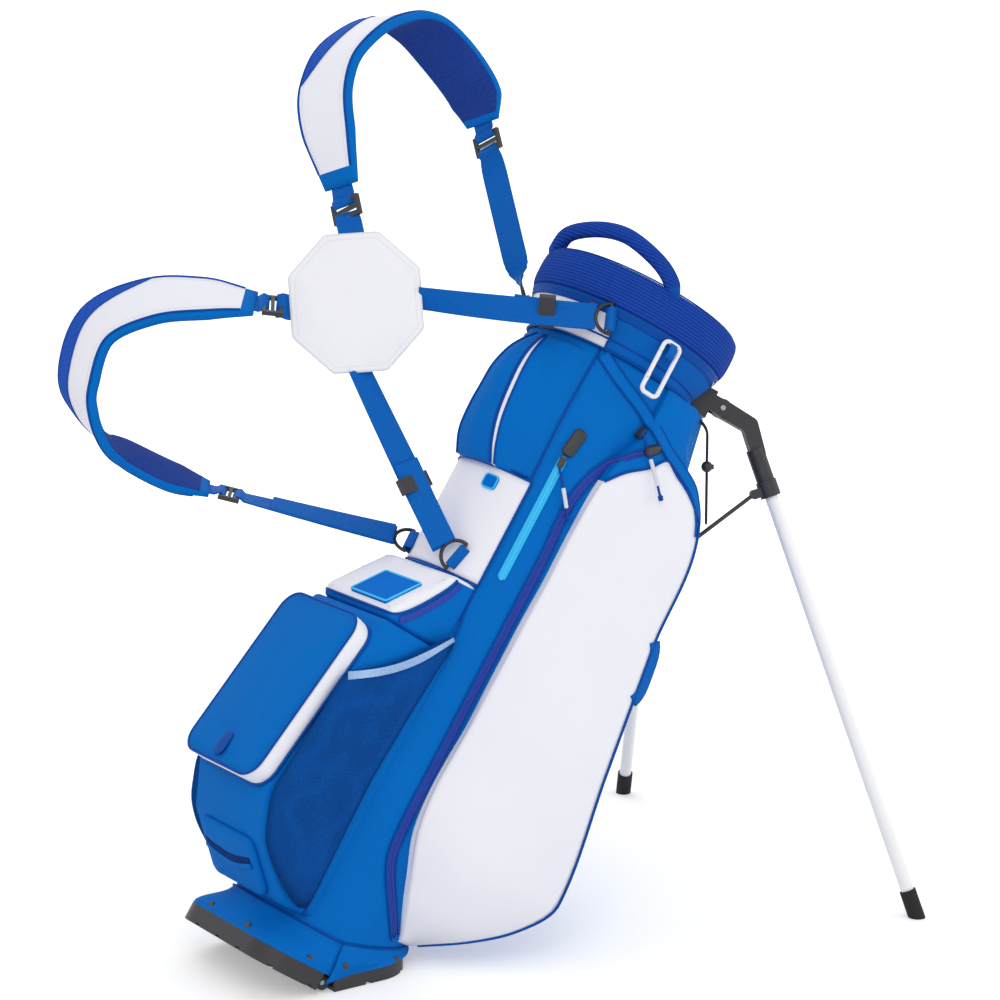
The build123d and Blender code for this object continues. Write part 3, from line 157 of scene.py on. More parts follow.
def sines(tree, pitch, source=None):
    # Waves with these repeats, along the bag's own axes or along another vector's.
    turns = [2 * math.pi / p for p in pitch]
    vector = bagCoords(tree, turns) if source is None else mapped(tree, source, turns)
    split = fill(tree, addNode(tree, "ShaderNodeSeparateXYZ"), {0: vector})
    return [mathNode(tree, "SINE", out) for out in split.outputs]


def clouds(tree, vector, scale, detail):
    # Soft unevenness about zero.
    cloud = addNode(tree, "ShaderNodeTexNoise")
    fill(tree, cloud, {"Scale": scale, "Detail": detail, "Vector": vector})
    return mathNode(tree, "SUBTRACT", cloud.outputs["Fac"], 0.5)


def weavePattern(tree, pitch):
    # Threads over and under each other, on a surface that faces any way.
    x, y, z = sines(tree, pitch)
    pairs = [product(tree, a, b) for a, b in ((x, y), (y, z), (z, x))]
    return mathNode(tree, "MULTIPLY_ADD", added(tree, *pairs), 0.33)


def meshPattern(tree, pitch):
    # Small open cells between knitted threads.
    cells = addNode(tree, "ShaderNodeTexVoronoi", feature="F1")
    fill(tree, cells, {"Scale": 1.0, "Randomness": 0.35, "Vector": bagCoords(tree, [1 / p for p in pitch])})
    return mathNode(tree, "SUBTRACT", product(tree, cells.outputs["Distance"], 2.2), 0.6)


def grainPattern(tree, pitch):
    return product(tree, clouds(tree, bagCoords(tree, [1 / p for p in pitch]), 1.0, 4.0), 2.0)


def uvPattern(tree, pitch):
    # Ribs along a strap and picks across it, from its own length and width.
    uv = addNode(tree, "ShaderNodeUVMap", uv_map="strap")
    x, y, _ = sines(tree, pitch, uv.outputs["UV"])
    return added(tree, product(tree, x, 0.55), product(tree, product(tree, x, y), 0.45))


def ribPattern(tree, pitch):
    # Knitted ribs round the bag, with a faint stitch along each.
    x, y, z = sines(tree, pitch)
    return added(tree, product(tree, z, 0.8), product(tree, product(tree, x, y), 0.2))


patterns = {"weave": weavePattern, "rib": ribPattern, "mesh": meshPattern, "grain": grainPattern,
            "strap": uvPattern}
usual = {"contrast": 0.2, "drift": 0.6, "metal": 0.0, "coat": 0.0, "specular": 0.12}


def makeMaterial(name, light, dark, pattern, pitch, rough, bump, special=None):
    # A finish with its fine pattern, its broad unevenness and its bump.
    look = {**usual, **(special or {})}
    material = bpy.data.materials.new(name)
    material.use_nodes = True
    tree = material.node_tree
    fine = patterns[pattern](tree, pitch if isinstance(pitch, tuple) else (pitch, pitch, pitch))
    broad = clouds(tree, bagCoords(tree, (1, 1, 1)), 9.0, 3.0)
    factor = added(tree, product(tree, fine, look["contrast"]), product(tree, broad, look["drift"]), 0.5)
    mix = addNode(tree, "ShaderNodeMix", data_type="RGBA", clamp_factor=True)
    fill(tree, mix, {"A": plain(*dark), "B": plain(*light), "Factor": factor})
    relief = fill(tree, addNode(tree, "ShaderNodeBump"), {"Distance": bump / 1000, "Strength": 0.6,
                                                          "Height": fine})
    fill(tree, tree.nodes["Principled BSDF"], {
        "Base Color": mix.outputs["Result"], "Roughness": added(tree, product(tree, broad, 0.2), rough),
        "Normal": relief.outputs["Normal"], "Metallic": look["metal"], "Coat Weight": look["coat"],
        "Coat Roughness": 0.15, "Specular IOR Level": look["specular"]})
    return material


# Each look: the light and dark ends of its colour, its pattern and the pattern's repeat in metres (for each
# axis if they differ), its roughness, its bump in millimetres, and what isn't usual.
looks = {
    "royalFabric": ((0, 116, 206), (0, 93, 174), "weave", 0.0011, 0.7, 0.16,
                    {"drift": 0.5, "specular": 0.07}),
    "meshFabric": ((0, 78, 158), (0, 40, 100), "mesh", 0.0021, 0.8, 0.35, {"contrast": 0.55, "drift": 0.4}),
    "cuffFabric": ((0, 102, 194), (0, 76, 156), "weave", 0.0016, 0.75, 0.25, {"contrast": 0.35}),
    "rimKnit": ((30, 80, 182), (6, 42, 130), "rib", (0.0044, 0.0044, 0.0036), 0.82, 0.5,
                {"contrast": 0.4, "drift": 0.3}),
    "navyMesh": ((36, 70, 156), (18, 42, 112), "mesh", 0.0024, 0.85, 0.4, {"contrast": 0.5}),
    "padIndigo": ((40, 92, 196), (18, 60, 156), "mesh", 0.0024, 0.8, 0.3, {"contrast": 0.4}),
    "whiteFabric": ((247, 247, 253), (232, 232, 244), "weave", 0.0009, 0.55, 0.09, {"contrast": 0.12}),
    "whiteGrain": ((252, 252, 255), (230, 231, 238), "grain", 0.0012, 0.45, 0.2, {"contrast": 0.25}),
    "piping": ((0, 84, 178), (0, 54, 130), "weave", 0.0013, 0.55, 0.15),
    "webbing": ((0, 112, 206), (0, 78, 160), "strap", (0.0026, 0.0016, 1.0), 0.55, 0.35,
                {"contrast": 0.35, "drift": 0.3}),
    "indigoZip": ((50, 78, 178), (16, 40, 128), "weave", (0.0024, 0.0024, 0.0018), 0.4, 0.35,
                  {"contrast": 0.6}),
    "cyanZip": ((60, 200, 250), (22, 160, 232), "weave", (0.0030, 0.0030, 0.0022), 0.35, 0.25,
                {"contrast": 0.35, "drift": 0.2}),
    "cyanThread": ((90, 210, 250), (40, 180, 240), "grain", 0.0010, 0.5, 0.1),
    "badgeBlue": ((0, 118, 214), (0, 100, 196), "grain", 0.0010, 0.7, 0.12, {"specular": 0.04}),
    "reflective": ((170, 200, 238), (70, 122, 190), "mesh", 0.0018, 0.35, 0.2, {"contrast": 0.6}),
    # Dark lining inside the bag; the same dark is also used as painted shade in the drink pocket's mouth.
    "liningAndMouthShade": ((0, 54, 128), (0, 32, 90), "weave", 0.0011, 0.85, 0.15),
    "blackPlastic": ((58, 58, 62), (36, 36, 40), "grain", 0.0009, 0.48, 0.12,
                     {"contrast": 0.3, "specular": 0.4}),
    "rubber": ((44, 44, 46), (24, 24, 26), "grain", 0.0007, 0.8, 0.2, {"contrast": 0.4, "specular": 0.3}),
    "whitePaint": ((248, 248, 250), (238, 238, 242), "grain", 0.0020, 0.28, 0.02,
                   {"coat": 0.4, "contrast": 0.1, "specular": 0.4}),
    "whitePlastic": ((244, 244, 247), (228, 228, 233), "grain", 0.0010, 0.35, 0.04,
                     {"contrast": 0.15, "specular": 0.4}),
    "darkSteel": ((70, 70, 74), (44, 44, 48), "grain", (0.0006, 0.0006, 0.0040), 0.34, 0.03,
                  {"metal": 0.9, "specular": 0.5}),
    "bronze": ((104, 88, 76), (62, 50, 44), "grain", 0.0006, 0.3, 0.03, {"metal": 0.95}),
    "steel": ((176, 178, 184), (140, 142, 148), "grain", (0.0005, 0.0005, 0.0050), 0.3, 0.03, {"metal": 1.0}),
    "blackCord": ((52, 54, 60), (22, 24, 30), "weave", (0.0014, 0.0014, 0.0018), 0.7, 0.3, {"contrast": 0.6}),
    "blueCord": ((20, 74, 168), (8, 44, 120), "weave", (0.0012, 0.0012, 0.0016), 0.65, 0.25,
                 {"contrast": 0.6}),
    "sleeve": ((232, 234, 240), (196, 200, 210), "grain", 0.0010, 0.35, 0.05),
    "threadWhite": ((236, 238, 246), (206, 210, 224), "grain", 0.0006, 0.6, 0.05),
    "threadBlue": ((30, 100, 196), (10, 70, 160), "grain", 0.0006, 0.6, 0.05),
}
materials = {name: makeMaterial(name, *look) for name, look in looks.items()}
print("materials made:", len(materials))


# Tools for the pieces.
def finish(piece, slot, *replaced, body="bag"):
    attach(piece, body)
    if replaced:
        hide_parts(*replaced)
    return piece


def placed(name, data):
    piece = bpy.data.objects.new(name, data)
    scene.collection.objects.link(piece)
    return piece


def newPiece(name, verts, faces, used, faceLooks=None):
    mesh = bpy.data.meshes.new(name)
    mesh.from_pydata([tuple(v) for v in verts], [], faces)
    piece = placed(name, mesh)
    for look in used:
        mesh.materials.append(materials[look])
    if faceLooks:
        mesh.polygons.foreach_set("material_index", faceLooks)
    mesh.polygons.foreach_set("use_smooth", [True] * len(mesh.polygons))
    mesh.update()
    return piece


def activate(piece):
    bpy.ops.object.select_all(action="DESELECT")
    piece.select_set(True)
    bpy.context.view_layer.objects.active = piece


def applied(piece, kind, **settings):
    # Adds a modifier and applies it straight away.
    activate(piece)
    modifier = piece.modifiers.new("step", kind)
    for key, value in settings.items():
        setattr(modifier, key, value)
    bpy.ops.object.modifier_apply(modifier=modifier.name)
    return piece


def closedOut(piece, merge=True):
    # Turns every face of a closed piece outwards.
    shape = bmesh.new()
    shape.from_mesh(piece.data)
    if merge:
        bmesh.ops.remove_doubles(shape, verts=shape.verts, dist=1e-6)
    bmesh.ops.recalc_face_normals(shape, faces=shape.faces)
    shape.to_mesh(piece.data)
    shape.free()
    return piece


def faceAway(piece, inside):
    # Turns an open sheet so that it faces away from a point, or from each point that inside() gives.
    total = 0.0
    for face in piece.data.polygons:
        middle = inside(face.center) if callable(inside) else inside
        total += face.normal.dot(face.center - middle) * face.area
    if total < 0:
        piece.data.flip_normals()
    return piece


def axisNear(point):
    return bagPoint(bag["axis"], 0, toBag(point).z)


def gridFaces(rows, columns, wrap=False):
    faces = []
    for i in range(rows - 1):
        for j in range(columns if wrap else columns - 1):
            k = (j + 1) % columns
            faces.append((i * columns + j, i * columns + k, (i + 1) * columns + k, (i + 1) * columns + j))
    return faces


def tubeFaces(rows, sides):
    # The wall of a closed tube and its two flat ends.
    last = (rows - 1) * sides
    ends = [tuple(reversed(range(sides))), tuple(last + k for k in range(sides))]
    return gridFaces(rows, sides, True) + ends


def circle(k, count):
    turn = 2 * math.pi * k / count
    return math.cos(turn), math.sin(turn)


def wayAt(path, i):
    return (path[min(i + 1, len(path) - 1)] - path[max(i - 1, 0)]).normalized()


def squarer(way, side):
    # The side direction made square to a line's way.
    return (side - way * side.dot(way)).normalized()


def sheetPiece(name, rows, used, thickness, inside=axisNear, wrap=False, pick=None, keep=None):
    # A cloth sheet through rows of points; pick gives a face's look and keep says which faces stay.
    columns = len(rows[0])
    faces = gridFaces(len(rows), columns, wrap)
    perRow = columns if wrap else columns - 1
    places = [(n // perRow, n % perRow) for n in range(len(faces))]
    if keep:
        kept = [n for n, place in enumerate(places) if keep(*place)]
        faces, places = [faces[n] for n in kept], [places[n] for n in kept]
    chosen = [pick(*place) for place in places] if pick else None
    piece = newPiece(name, [p for row in rows for p in row], faces, used, chosen)
    faceAway(piece, inside)
    applied(piece, "SOLIDIFY", thickness=thickness / 1000, offset=-1.0, use_quality_normals=True)
    return piece


def smoothPath(points, samples):
    # A smooth curve through points, for seams and straps.
    points = [Vector(p) for p in points]
    points = [points[0] * 2 - points[1]] + points + [points[-1] * 2 - points[-2]]
    out = []
    for p0, p1, p2, p3 in zip(points, points[1:], points[2:], points[3:]):
        for k in range(samples):
            t = k / samples
            out.append(0.5 * ((2 * p1) + (p2 - p0) * t + (2 * p0 - 5 * p1 + 4 * p2 - p3) * t * t
                              + (3 * p1 - p0 - 3 * p2 + p3) * t ** 3))
    return out + [points[-2]]


def evenPath(points, step, closed=False):
    # The same line with points at an even distance along it.
    line = points + [points[0]] if closed else points
    gaps = [(b - a).length for a, b in zip(line, line[1:])]
    total = sum(gaps)
    count = max(2, round(total / step))
    out, place, i = [], 0.0, 0
    for n in range(count if closed else count + 1):
        goal = total * n / count
        while i < len(gaps) - 1 and place + gaps[i] < goal:
            place += gaps[i]
            i += 1
        share = 0.0 if gaps[i] < 1e-12 else min(1.0, (goal - place) / gaps[i])
        out.append(line[i].lerp(line[i + 1], share))
    return out


def tubes(name, paths, radius, look, closed=False, flat=1.0):
    # Piping or cord-like trim along paths in metres, all in one piece.
    sides = 8
    verts, faces = [], []
    for path in paths:
        count = len(path)
        normal = None
        base = len(verts)
        for i, point in enumerate(path):
            way = (path[(i + 1) % count] - path[i - 1]).normalized() if closed else wayAt(path, i)
            normal = squarer(way, way.orthogonal().normalized() if normal is None else normal)
            side = way.cross(normal)
            for k in range(sides):
                c, s = circle(k, sides)
                verts.append(point + (normal * c + side * s * flat) * radius / 1000)
        wall = gridFaces(count, sides, True) if closed else tubeFaces(count, sides)
        faces += [tuple(base + v for v in face) for face in wall]
        if closed:
            last = base + (count - 1) * sides
            ring = [(k, (k + 1) % sides) for k in range(sides)]
            faces += [(last + k, last + n, base + n, base + k) for k, n in ring]
    return closedOut(newPiece(name, verts, faces, [look]))


def superOval(k, points, power):
    c, s = circle(k, points)
    return math.copysign(abs(c) ** (2 / power), c), math.copysign(abs(s) ** (2 / power), s)


def roundProfile(width, depth, points, power):
    # A closed, soft-cornered cross-section: across and out, in millimetres.
    spots = [superOval(k, points, power) for k in range(points)]
    return [(width / 2 * a, depth / 2 * b) for a, b in spots]


def ribbon(name, path, across, profile, used, pick=None, size=None):
    # A strap or pad swept along a path, with the way across it at each point.
    count, sides = len(path), len(profile)
    verts, lengths = [], [0.0]
    for i, point in enumerate(path):
        way = wayAt(path, i)
        side = squarer(way, across[i])
        out = way.cross(side)
        wide, deep = size(i / (count - 1)) if size else (1.0, 1.0)
        verts += [point + (side * a * wide + out * b * deep) / 1000 for a, b in profile]
        if i:
            lengths.append(lengths[-1] + (point - path[i - 1]).length)
    chosen = None
    if pick:
        places = [(n // sides, n % sides) for n in range((count - 1) * sides)]
        chosen = [pick(i / (count - 1), k) for i, k in places] + [pick(0, 0), pick(1, 0)]
    piece = newPiece(name, verts, tubeFaces(count, sides), used, chosen)
    layer = piece.data.uv_layers.new(name="strap")
    for loop in piece.data.loops:
        vertex = loop.vertex_index
        layer.data[loop.index].uv = (profile[vertex % sides][0] / 1000, lengths[vertex // sides])
    return closedOut(piece, False)


def roundedOutline(width, height, corner, steps=6):
    # A rounded rectangle's outline, anticlockwise, in millimetres.
    out = []
    for cx, cy, start in ((1, 1, 0), (-1, 1, 90), (-1, -1, 180), (1, -1, 270)):
        for k in range(steps + 1):
            t = math.radians(start + 90 * k / steps)
            out.append((cx * (width / 2 - corner) + corner * math.cos(t),
                        cy * (height / 2 - corner) + corner * math.sin(t)))
    return densify(out, 6.0)


def softOutline(corners, radius):
    # A polygon's outline with its corners rounded.
    out = []
    count = len(corners)
    for i in range(count):
        before, here, after = (Vector(corners[(i + k) % count]) for k in (-1, 0, 1))
        a, b = before - here, after - here
        cut = min(radius, a.length * 0.45, b.length * 0.45)
        p, q = here + a.normalized() * cut, here + b.normalized() * cut
        for t in (0.0, 0.25, 0.5, 0.75, 1.0):
            out.append(tuple(p * (1 - t) ** 2 + here * 2 * t * (1 - t) + q * t * t))
    return densify(out, 6.0)


def densify(outline, step):
    out = []
    count = len(outline)
    for i in range(count):
        a, b = Vector(outline[i]), Vector(outline[(i + 1) % count])
        parts = max(1, round((b - a).length / step))
        out += [tuple(a.lerp(b, k / parts)) for k in range(parts)]
    return out


def insetOutline(outline, amount):
    out = []
    count = len(outline)
    for i in range(count):
        way = Vector(outline[(i + 1) % count]) - Vector(outline[i - 1])
        normal = Vector((way.y, -way.x)).normalized()
        out.append(tuple(Vector(outline[i]) - normal * amount))
    return out


def cushion(name, plane, outline, layers, crown, used, pick=None, rings=6, wrinkle=0.0):
    # A sewn, crowned piece: layers are (inset, height) from its back edge to its front edge.
    origin, right, up, out = plane
    middle = Vector((sum(p[0] for p in outline), sum(p[1] for p in outline))) / len(outline)
    loops = [(insetOutline(outline, inset), height, 1.0) for inset, height in layers]
    flat, top = loops[-1][0], layers[-1][1]
    low = loops[0][0], layers[0][1]
    for k in range(1, rings):
        share = 1 - k / rings
        loops.append(([tuple(middle.lerp(Vector(p), share)) for p in flat],
                      top + crown * (1 - share ** 2.4), share))
    verts, count = [], len(outline)
    for loop, height, share in loops:
        for x, y in loop:
            spot = origin + (right * x + up * y) / 1000
            lift = height
            if wrinkle and share < 1:
                lift += wrinkle * noise.noise(Vector((x, y, height)) * 0.03) * (1 - share ** 4)
            verts.append(spot + out * lift / 1000)
    faces = gridFaces(len(loops), count, True)
    verts.append(origin + (right * middle.x + up * middle.y) / 1000 + out * (top + crown) / 1000)
    last = (len(loops) - 1) * count
    faces += [(last + k, last + (k + 1) % count, len(verts) - 1) for k in range(count)]
    verts.append(origin + (right * middle.x + up * middle.y) / 1000 + out * low[1] / 1000)
    faces += [((k + 1) % count, k, len(verts) - 1) for k in range(count)]
    layerOf = [n // count for n in range((len(loops) - 1) * count)] + [len(loops)] * count + [-1] * count
    chosen = [pick(n) for n in layerOf] if pick else None
    return closedOut(newPiece(name, verts, faces, used, chosen))


dash = {"pitch": 3.4, "length": 2.2, "radius": 0.28}


def stitches(name, paths, look, closed=False):
    # Sewing thread along paths: short rounded dashes that lie on the cloth.
    verts, faces = [], []
    for path in paths:
        line = evenPath(path, dash["pitch"] / 1000, closed)
        for a, b in zip(line, line[1:]):
            way = (b - a).normalized()
            side = way.orthogonal().normalized()
            other = way.cross(side)
            half = way * dash["length"] / 2000
            centre = (a + b) / 2
            base = len(verts)
            verts += [centre - half, centre + half]
            for k in range(4):
                c, s = circle(k, 4)
                verts.append(centre + (side * c + other * s) * dash["radius"] / 1000)
            for k in range(4):
                this, following = base + 2 + k, base + 2 + (k + 1) % 4
                faces += [(base, this, following), (base + 1, following, this)]
    return newPiece(name, verts, faces, [look])


def piped(name, paths, radius, slot="fabric_blue", look="piping", closed=False):
    return finish(tubes(name, paths, radius, look, closed), slot)


def sewn(name, paths, slot="fabric_blue", look="threadBlue", closed=False):
    return finish(stitches(name, paths, look, closed), slot)


def joined(name, parts):
    # Several pieces made into one.
    activate(parts[0])
    for part in parts[1:]:
        part.select_set(True)
    bpy.context.view_layer.objects.active = parts[0]
    bpy.ops.object.join()
    parts[0].name = name
    parts[0].data.name = name
    return parts[0]


def skinOf(pieces):
    # A tree of several pieces' faces, to lay trim on them.
    verts, faces = [], []
    for piece in pieces:
        base = len(verts)
        verts += [v.co.copy() for v in piece.data.vertices]
        faces += [[base + i for i in polygon.vertices] for polygon in piece.data.polygons]
    return BVHTree.FromPolygons(verts, faces)


farOut = 320.0


def laidOn(tree, angle, height, lift):
    # The point on the outermost cloth at an angle and height, in metres.
    spot = tree.ray_cast(onBag(angle, farOut, height), -outWay(angle))[0]
    if spot is None:
        return onBag(angle, 100 + lift, height)
    return spot + outWay(angle) * lift / 1000


def hermite(table, share):
    # A smooth value between the rows of a table, with the share in its first column.
    keys = [row[0] for row in table]
    i = max(k for k in range(len(keys) - 1) if keys[k] <= share or k == 0)
    h = keys[i + 1] - keys[i]
    t = (share - keys[i]) / h
    out = []
    for c in range(1, len(table[0])):
        y0, y1 = table[i][c], table[i + 1][c]
        m = (y1 - y0) / h
        before = (y0 - table[i - 1][c]) / (keys[i] - keys[i - 1]) if i else m
        after = (table[i + 2][c] - y1) / (keys[i + 2] - keys[i + 1]) if i + 2 < len(keys) else m
        d0, d1 = (0.0 if slope * m <= 0 else (slope + m) / 2 for slope in (before, after))
        out.append(y0 * (2 * t ** 3 - 3 * t ** 2 + 1) + h * d0 * (t ** 3 - 2 * t ** 2 + t)
                   + y1 * (3 * t ** 2 - 2 * t ** 3) + h * d1 * (t ** 3 - t ** 2))
    return out


clothIs = {"quality": 5, "mass": 0.3, "tension_stiffness": 12, "compression_stiffness": 12,
           "shear_stiffness": 6, "bending_stiffness": 0.4, "use_pressure": True, "vertex_group_mass": "seams"}


def puffed(piece, pressure, cap, pinned):
    # Blows a padded piece up a little between its seams, as real cloth, and keeps the result.
    mesh = piece.data
    rest = [v.co.copy() for v in mesh.vertices]
    group = piece.vertex_groups.new(name="seams")
    group.add([v.index for v in mesh.vertices if pinned(v.index)], 1.0, "REPLACE")
    activate(piece)
    cloth = piece.modifiers.new("cloth", "CLOTH")
    for key, value in {**clothIs, "uniform_pressure_force": pressure}.items():
        setattr(cloth.settings, key, value)
    cloth.settings.effector_weights.gravity = 0.0
    cloth.collision_settings.use_collision = False
    cloth.point_cache.frame_start = 1
    cloth.point_cache.frame_end = 20
    for step in range(1, 21):
        scene.frame_set(step)
    moved = piece.evaluated_get(bpy.context.evaluated_depsgraph_get()).data
    after = [v.co.copy() for v in moved.vertices]
    piece.modifiers.remove(cloth)
    piece.vertex_groups.remove(group)
    for vertex, start, end in zip(mesh.vertices, rest, after):
        shift = end - start
        if shift.length > cap / 1000:
            shift = shift.normalized() * cap / 1000
        vertex.co = start + shift
    scene.frame_set(1)
    mesh.update()
    return piece


# Cords: each is one soft line through the points of its route.
def cordCurve(name, points, radius, look):
    data = bpy.data.curves.new(name, "CURVE")
    data.dimensions = "3D"
    spline = data.splines.new("NURBS")
    spline.points.add(len(points) - 1)
    for place, point in zip(spline.points, points):
        place.co = (*point, 1.0)
    spline.order_u = 3
    spline.use_endpoint_u = True
    spline.resolution_u = 16
    data.bevel_depth = radius / 1000
    data.bevel_resolution = 4
    data.use_fill_caps = True
    data.materials.append(materials[look])
    return placed(name, data)


def cordLine(curve):
    # The points that a cord follows, read from the curve without its thickness.
    bare = curve.data.copy()
    bare.bevel_depth = 0.0
    holder = placed("holder", bare)
    mesh = bpy.data.meshes.new_from_object(holder)
    line = [v.co.copy() for v in mesh.vertices]
    bpy.data.objects.remove(holder)
    bpy.data.curves.remove(bare)
    bpy.data.meshes.remove(mesh)
    return line


def turnedSolid(name, line, profile, look):
    # A small round part threaded on a cord: profile rows are share along the line and radius.
    verts, sides = [], 20
    spans = len(line) - 1
    normal = None
    for share, radius in profile:
        place = share * spans
        i = min(int(place), spans - 1)
        spot = line[i].lerp(line[i + 1], place - i)
        way = (line[i + 1] - line[i]).normalized()
        normal = squarer(way, way.orthogonal() if normal is None else normal)
        side = way.cross(normal)
        for k in range(sides):
            c, s = circle(k, sides)
            verts.append(spot + (normal * c + side * s) * radius / 1000)
    return closedOut(newPiece(name, verts, tubeFaces(len(profile), sides), [look]))


bungee = {"radius": 1.5, "drops": (31, 111.0, 118.0), "near": (97.64, -69.14, 764),
          "nearTurn": (119.17, -91.44, 764), "far": (92.6, -74.01, 764), "farTurn": (114.14, -96.31, 764)}
strands = []
for side in ("near", "far"):
    foot, corner = bagPoint(*bungee[side]), bagPoint(*bungee[side + "Turn"])
    strands.append([foot, corner] + [corner + hangDown * d / 1000 for d in bungee["drops"]])
bungeeRoute = strands[0] + strands[1][::-1]
bungeeCord = cordCurve("bungee_loop", bungeeRoute, bungee["radius"], "blackCord")
finish(bungeeCord, "cord", "bungee_cord")

pulls = {
    "side_pull": {"start": (-32.85, -85.63, 627), "end": (-1.5, -102.6, 580.6), "sag": 3.0, "length": 0.059,
                  "body": "side_slider", "node": "side_pull_cord"},
    "pocket_pull": {"start": (28.45, -109.82, 707.77), "end": (68.7, -145.8, 648.1), "sag": 4.0,
                    "length": 0.081, "body": "pocket_slider", "node": "pocket_pull_cord"},
}
for name, pull in pulls.items():
    start, end = bagPoint(*pull["start"]), bagPoint(*pull["end"])
    middle = start.lerp(end, 0.45) + outWay(100) * pull["sag"] / 1000
    curve = finish(cordCurve(name, [start, middle, end], 1.4, "blueCord"), "cord", pull["node"],
                   body=pull["body"])
    line = cordLine(curve)
    sleeve = turnedSolid(name + "_sleeve", line, [(0.42, 1.7), (0.43, 2.2), (0.45, 2.4), (0.6, 2.3),
                                                  (0.77, 2.4), (0.79, 2.2), (0.8, 1.7)], "sleeve")
    knot = turnedSolid(name + "_knot", line, [(0.92, 1.6), (0.935, 2.7), (0.955, 3.1), (0.97, 2.6),
                                              (0.985, 2.9), (0.995, 2.4), (1.0, 1.2)], "blueCord")
    for part in (sleeve, knot):
        finish(part, "cord", body=pull["body"])
print("cords hung")

# The body tube, with its belly slot for the leg frame.
body = {"radius": 100.0, "low": 54.0, "top": 768.0, "slope": 15.8, "seamTurn": -14.0,
        "slotLow": 437.4, "slotHigh": 512.1, "slotHalf": 7.0, "sag": 1.0, "columns": 144}


def seamHeight(angle, reach):
    x, _ = flatAngle(angle, reach)
    return body["low"] + max(0.0, x - body["seamTurn"]) * math.tan(math.radians(body["slope"]))


def softness(angle, height):
    # Slack of the cloth: shallow folds that run mostly along the bag.
    turn = math.radians(angle)
    spot = Vector((math.cos(turn) * 3.0, math.sin(turn) * 3.0, height / 150))
    return noise.noise(spot) * 0.7 + noise.noise(spot * 2.7) * 0.3


def bodyRow(share):
    row = []
    for k in range(body["columns"]):
        angle = 360 * k / body["columns"]
        low = seamHeight(angle, body["radius"])
        height = low + (body["top"] - low) * share
        ease = math.sin(math.pi * share) ** 0.5
        reach = body["radius"] - 0.6 + body["sag"] * softness(angle, height) * ease
        row.append(onBag(angle, reach, height))
    return row


shares = [0.0, 0.006] + [k / 60 for k in range(1, 60)] + [0.994, 1.0]
rows = [bodyRow(share) for share in shares]


def inSlot(i, j):
    point = toBag(rows[i][j])
    return body["slotLow"] < point.z < body["slotHigh"] and abs(point.y) < body["slotHalf"] and point.x > 26


shell = sheetPiece("body_fabric", rows, ["royalFabric", "liningAndMouthShade"], 2.6, wrap=True,
                   keep=lambda i, j: not inSlot(i, j))
finish(shell, "fabric_blue", "body_shell")

# Bottom band: a rounded box at the foot that becomes the round tube.
band = {"front": -4.0, "width": 206.0, "corner": 45.0, "back": -86.0, "low": 20.0, "top": 58.0}


def baseLine(inset):
    # The back part of the base outline, from the near hinge end round to the far one, in bag millimetres.
    back, half, corner = band["back"] + inset, band["width"] / 2 - inset, band["corner"] - inset
    turns = [math.radians(90 * k / 12) for k in range(13)]
    line = [(band["front"], -half)]
    line += [(back + corner - corner * math.sin(t), -half + corner - corner * math.cos(t)) for t in turns]
    line += [(back + corner - corner * math.cos(t), half - corner + corner * math.sin(t)) for t in turns]
    line.append((band["front"], half))
    even = evenPath([Vector((x, y, 0)) for x, y in line], 1.0)
    return [even[round((len(even) - 1) * k / 60)] for k in range(61)]


def bandRows(grow, levels):
    base = baseLine(-grow)
    rows = []
    for share in levels:
        row = []
        for point in base:
            angle = math.atan2(-point.y, point.x - bag["axis"])
            reach = body["radius"] + 2.0 + grow
            onTube = Vector((bag["axis"] + reach * math.cos(angle), -reach * math.sin(angle), 0))
            spot = point.lerp(onTube, share * share * (3 - 2 * share))
            spot.x = min(spot.x, band["front"])
            row.append(bagPoint(spot.x, spot.y, band["low"] + (band["top"] - band["low"]) * share))
        rows.append(row)
    return rows


levels = [k / 14 for k in range(15)]
lower = sheetPiece("lower_band_cloth", bandRows(0.0, levels), ["royalFabric", "liningAndMouthShade"], 2.0)
finish(lower, "fabric_blue", "lower_band")
piped("lower_band_piping", [smoothPath(bandRows(0.3, [0.985])[0], 2)], 1.3)
sewn("lower_band_stitching", bandRows(0.35, [0.86, 0.13]))
gussets = []
for end in (0, -1):
    rows = [[row[end] + bagWay(1, 0, 0) * 0.003 * k for k in range(9)] for row in bandRows(-1.4, levels)]
    gussets.append(sheetPiece("gusset_%d" % end, rows, ["royalFabric"], 1.0))
finish(joined("hinge_gusset", gussets), "fabric_blue")
print("body and lower band made")

# Front skirt: soft cloth between the foot plate and the tube, folded short while the bag leans.
skirt = {"front": 118.0, "back": 86.0, "width": 206.0, "corner": 45.0, "rim": 15.0, "reach": 100.0,
         "fold": 4.0, "hinge": -3.0}


def outlineAt(bearing):
    half, corner = skirt["width"] / 2, skirt["corner"]
    middle = (skirt["front"] - skirt["back"]) / 2
    long_ = (skirt["front"] + skirt["back"]) / 2
    way = Vector((math.cos(bearing), math.sin(bearing)))
    low, high = 0.0, 200.0
    for _ in range(26):
        reach = (low + high) / 2
        x, y = abs(way.x) * reach, abs(way.y) * reach
        dx, dy = max(0.0, x - long_ + corner), max(0.0, y - half + corner)
        inside = x <= long_ and y <= half and (dx * dx + dy * dy <= corner * corner or min(dx, dy) == 0.0)
        low, high = (reach, high) if inside else (low, reach)
    return middle + way.x * low, way.y * low


def platePoint(x, y, z):
    # A point on the foot plate, which lies flat on the ground.
    return Vector((x - bag["soleCentre"], y, z)) / 1000


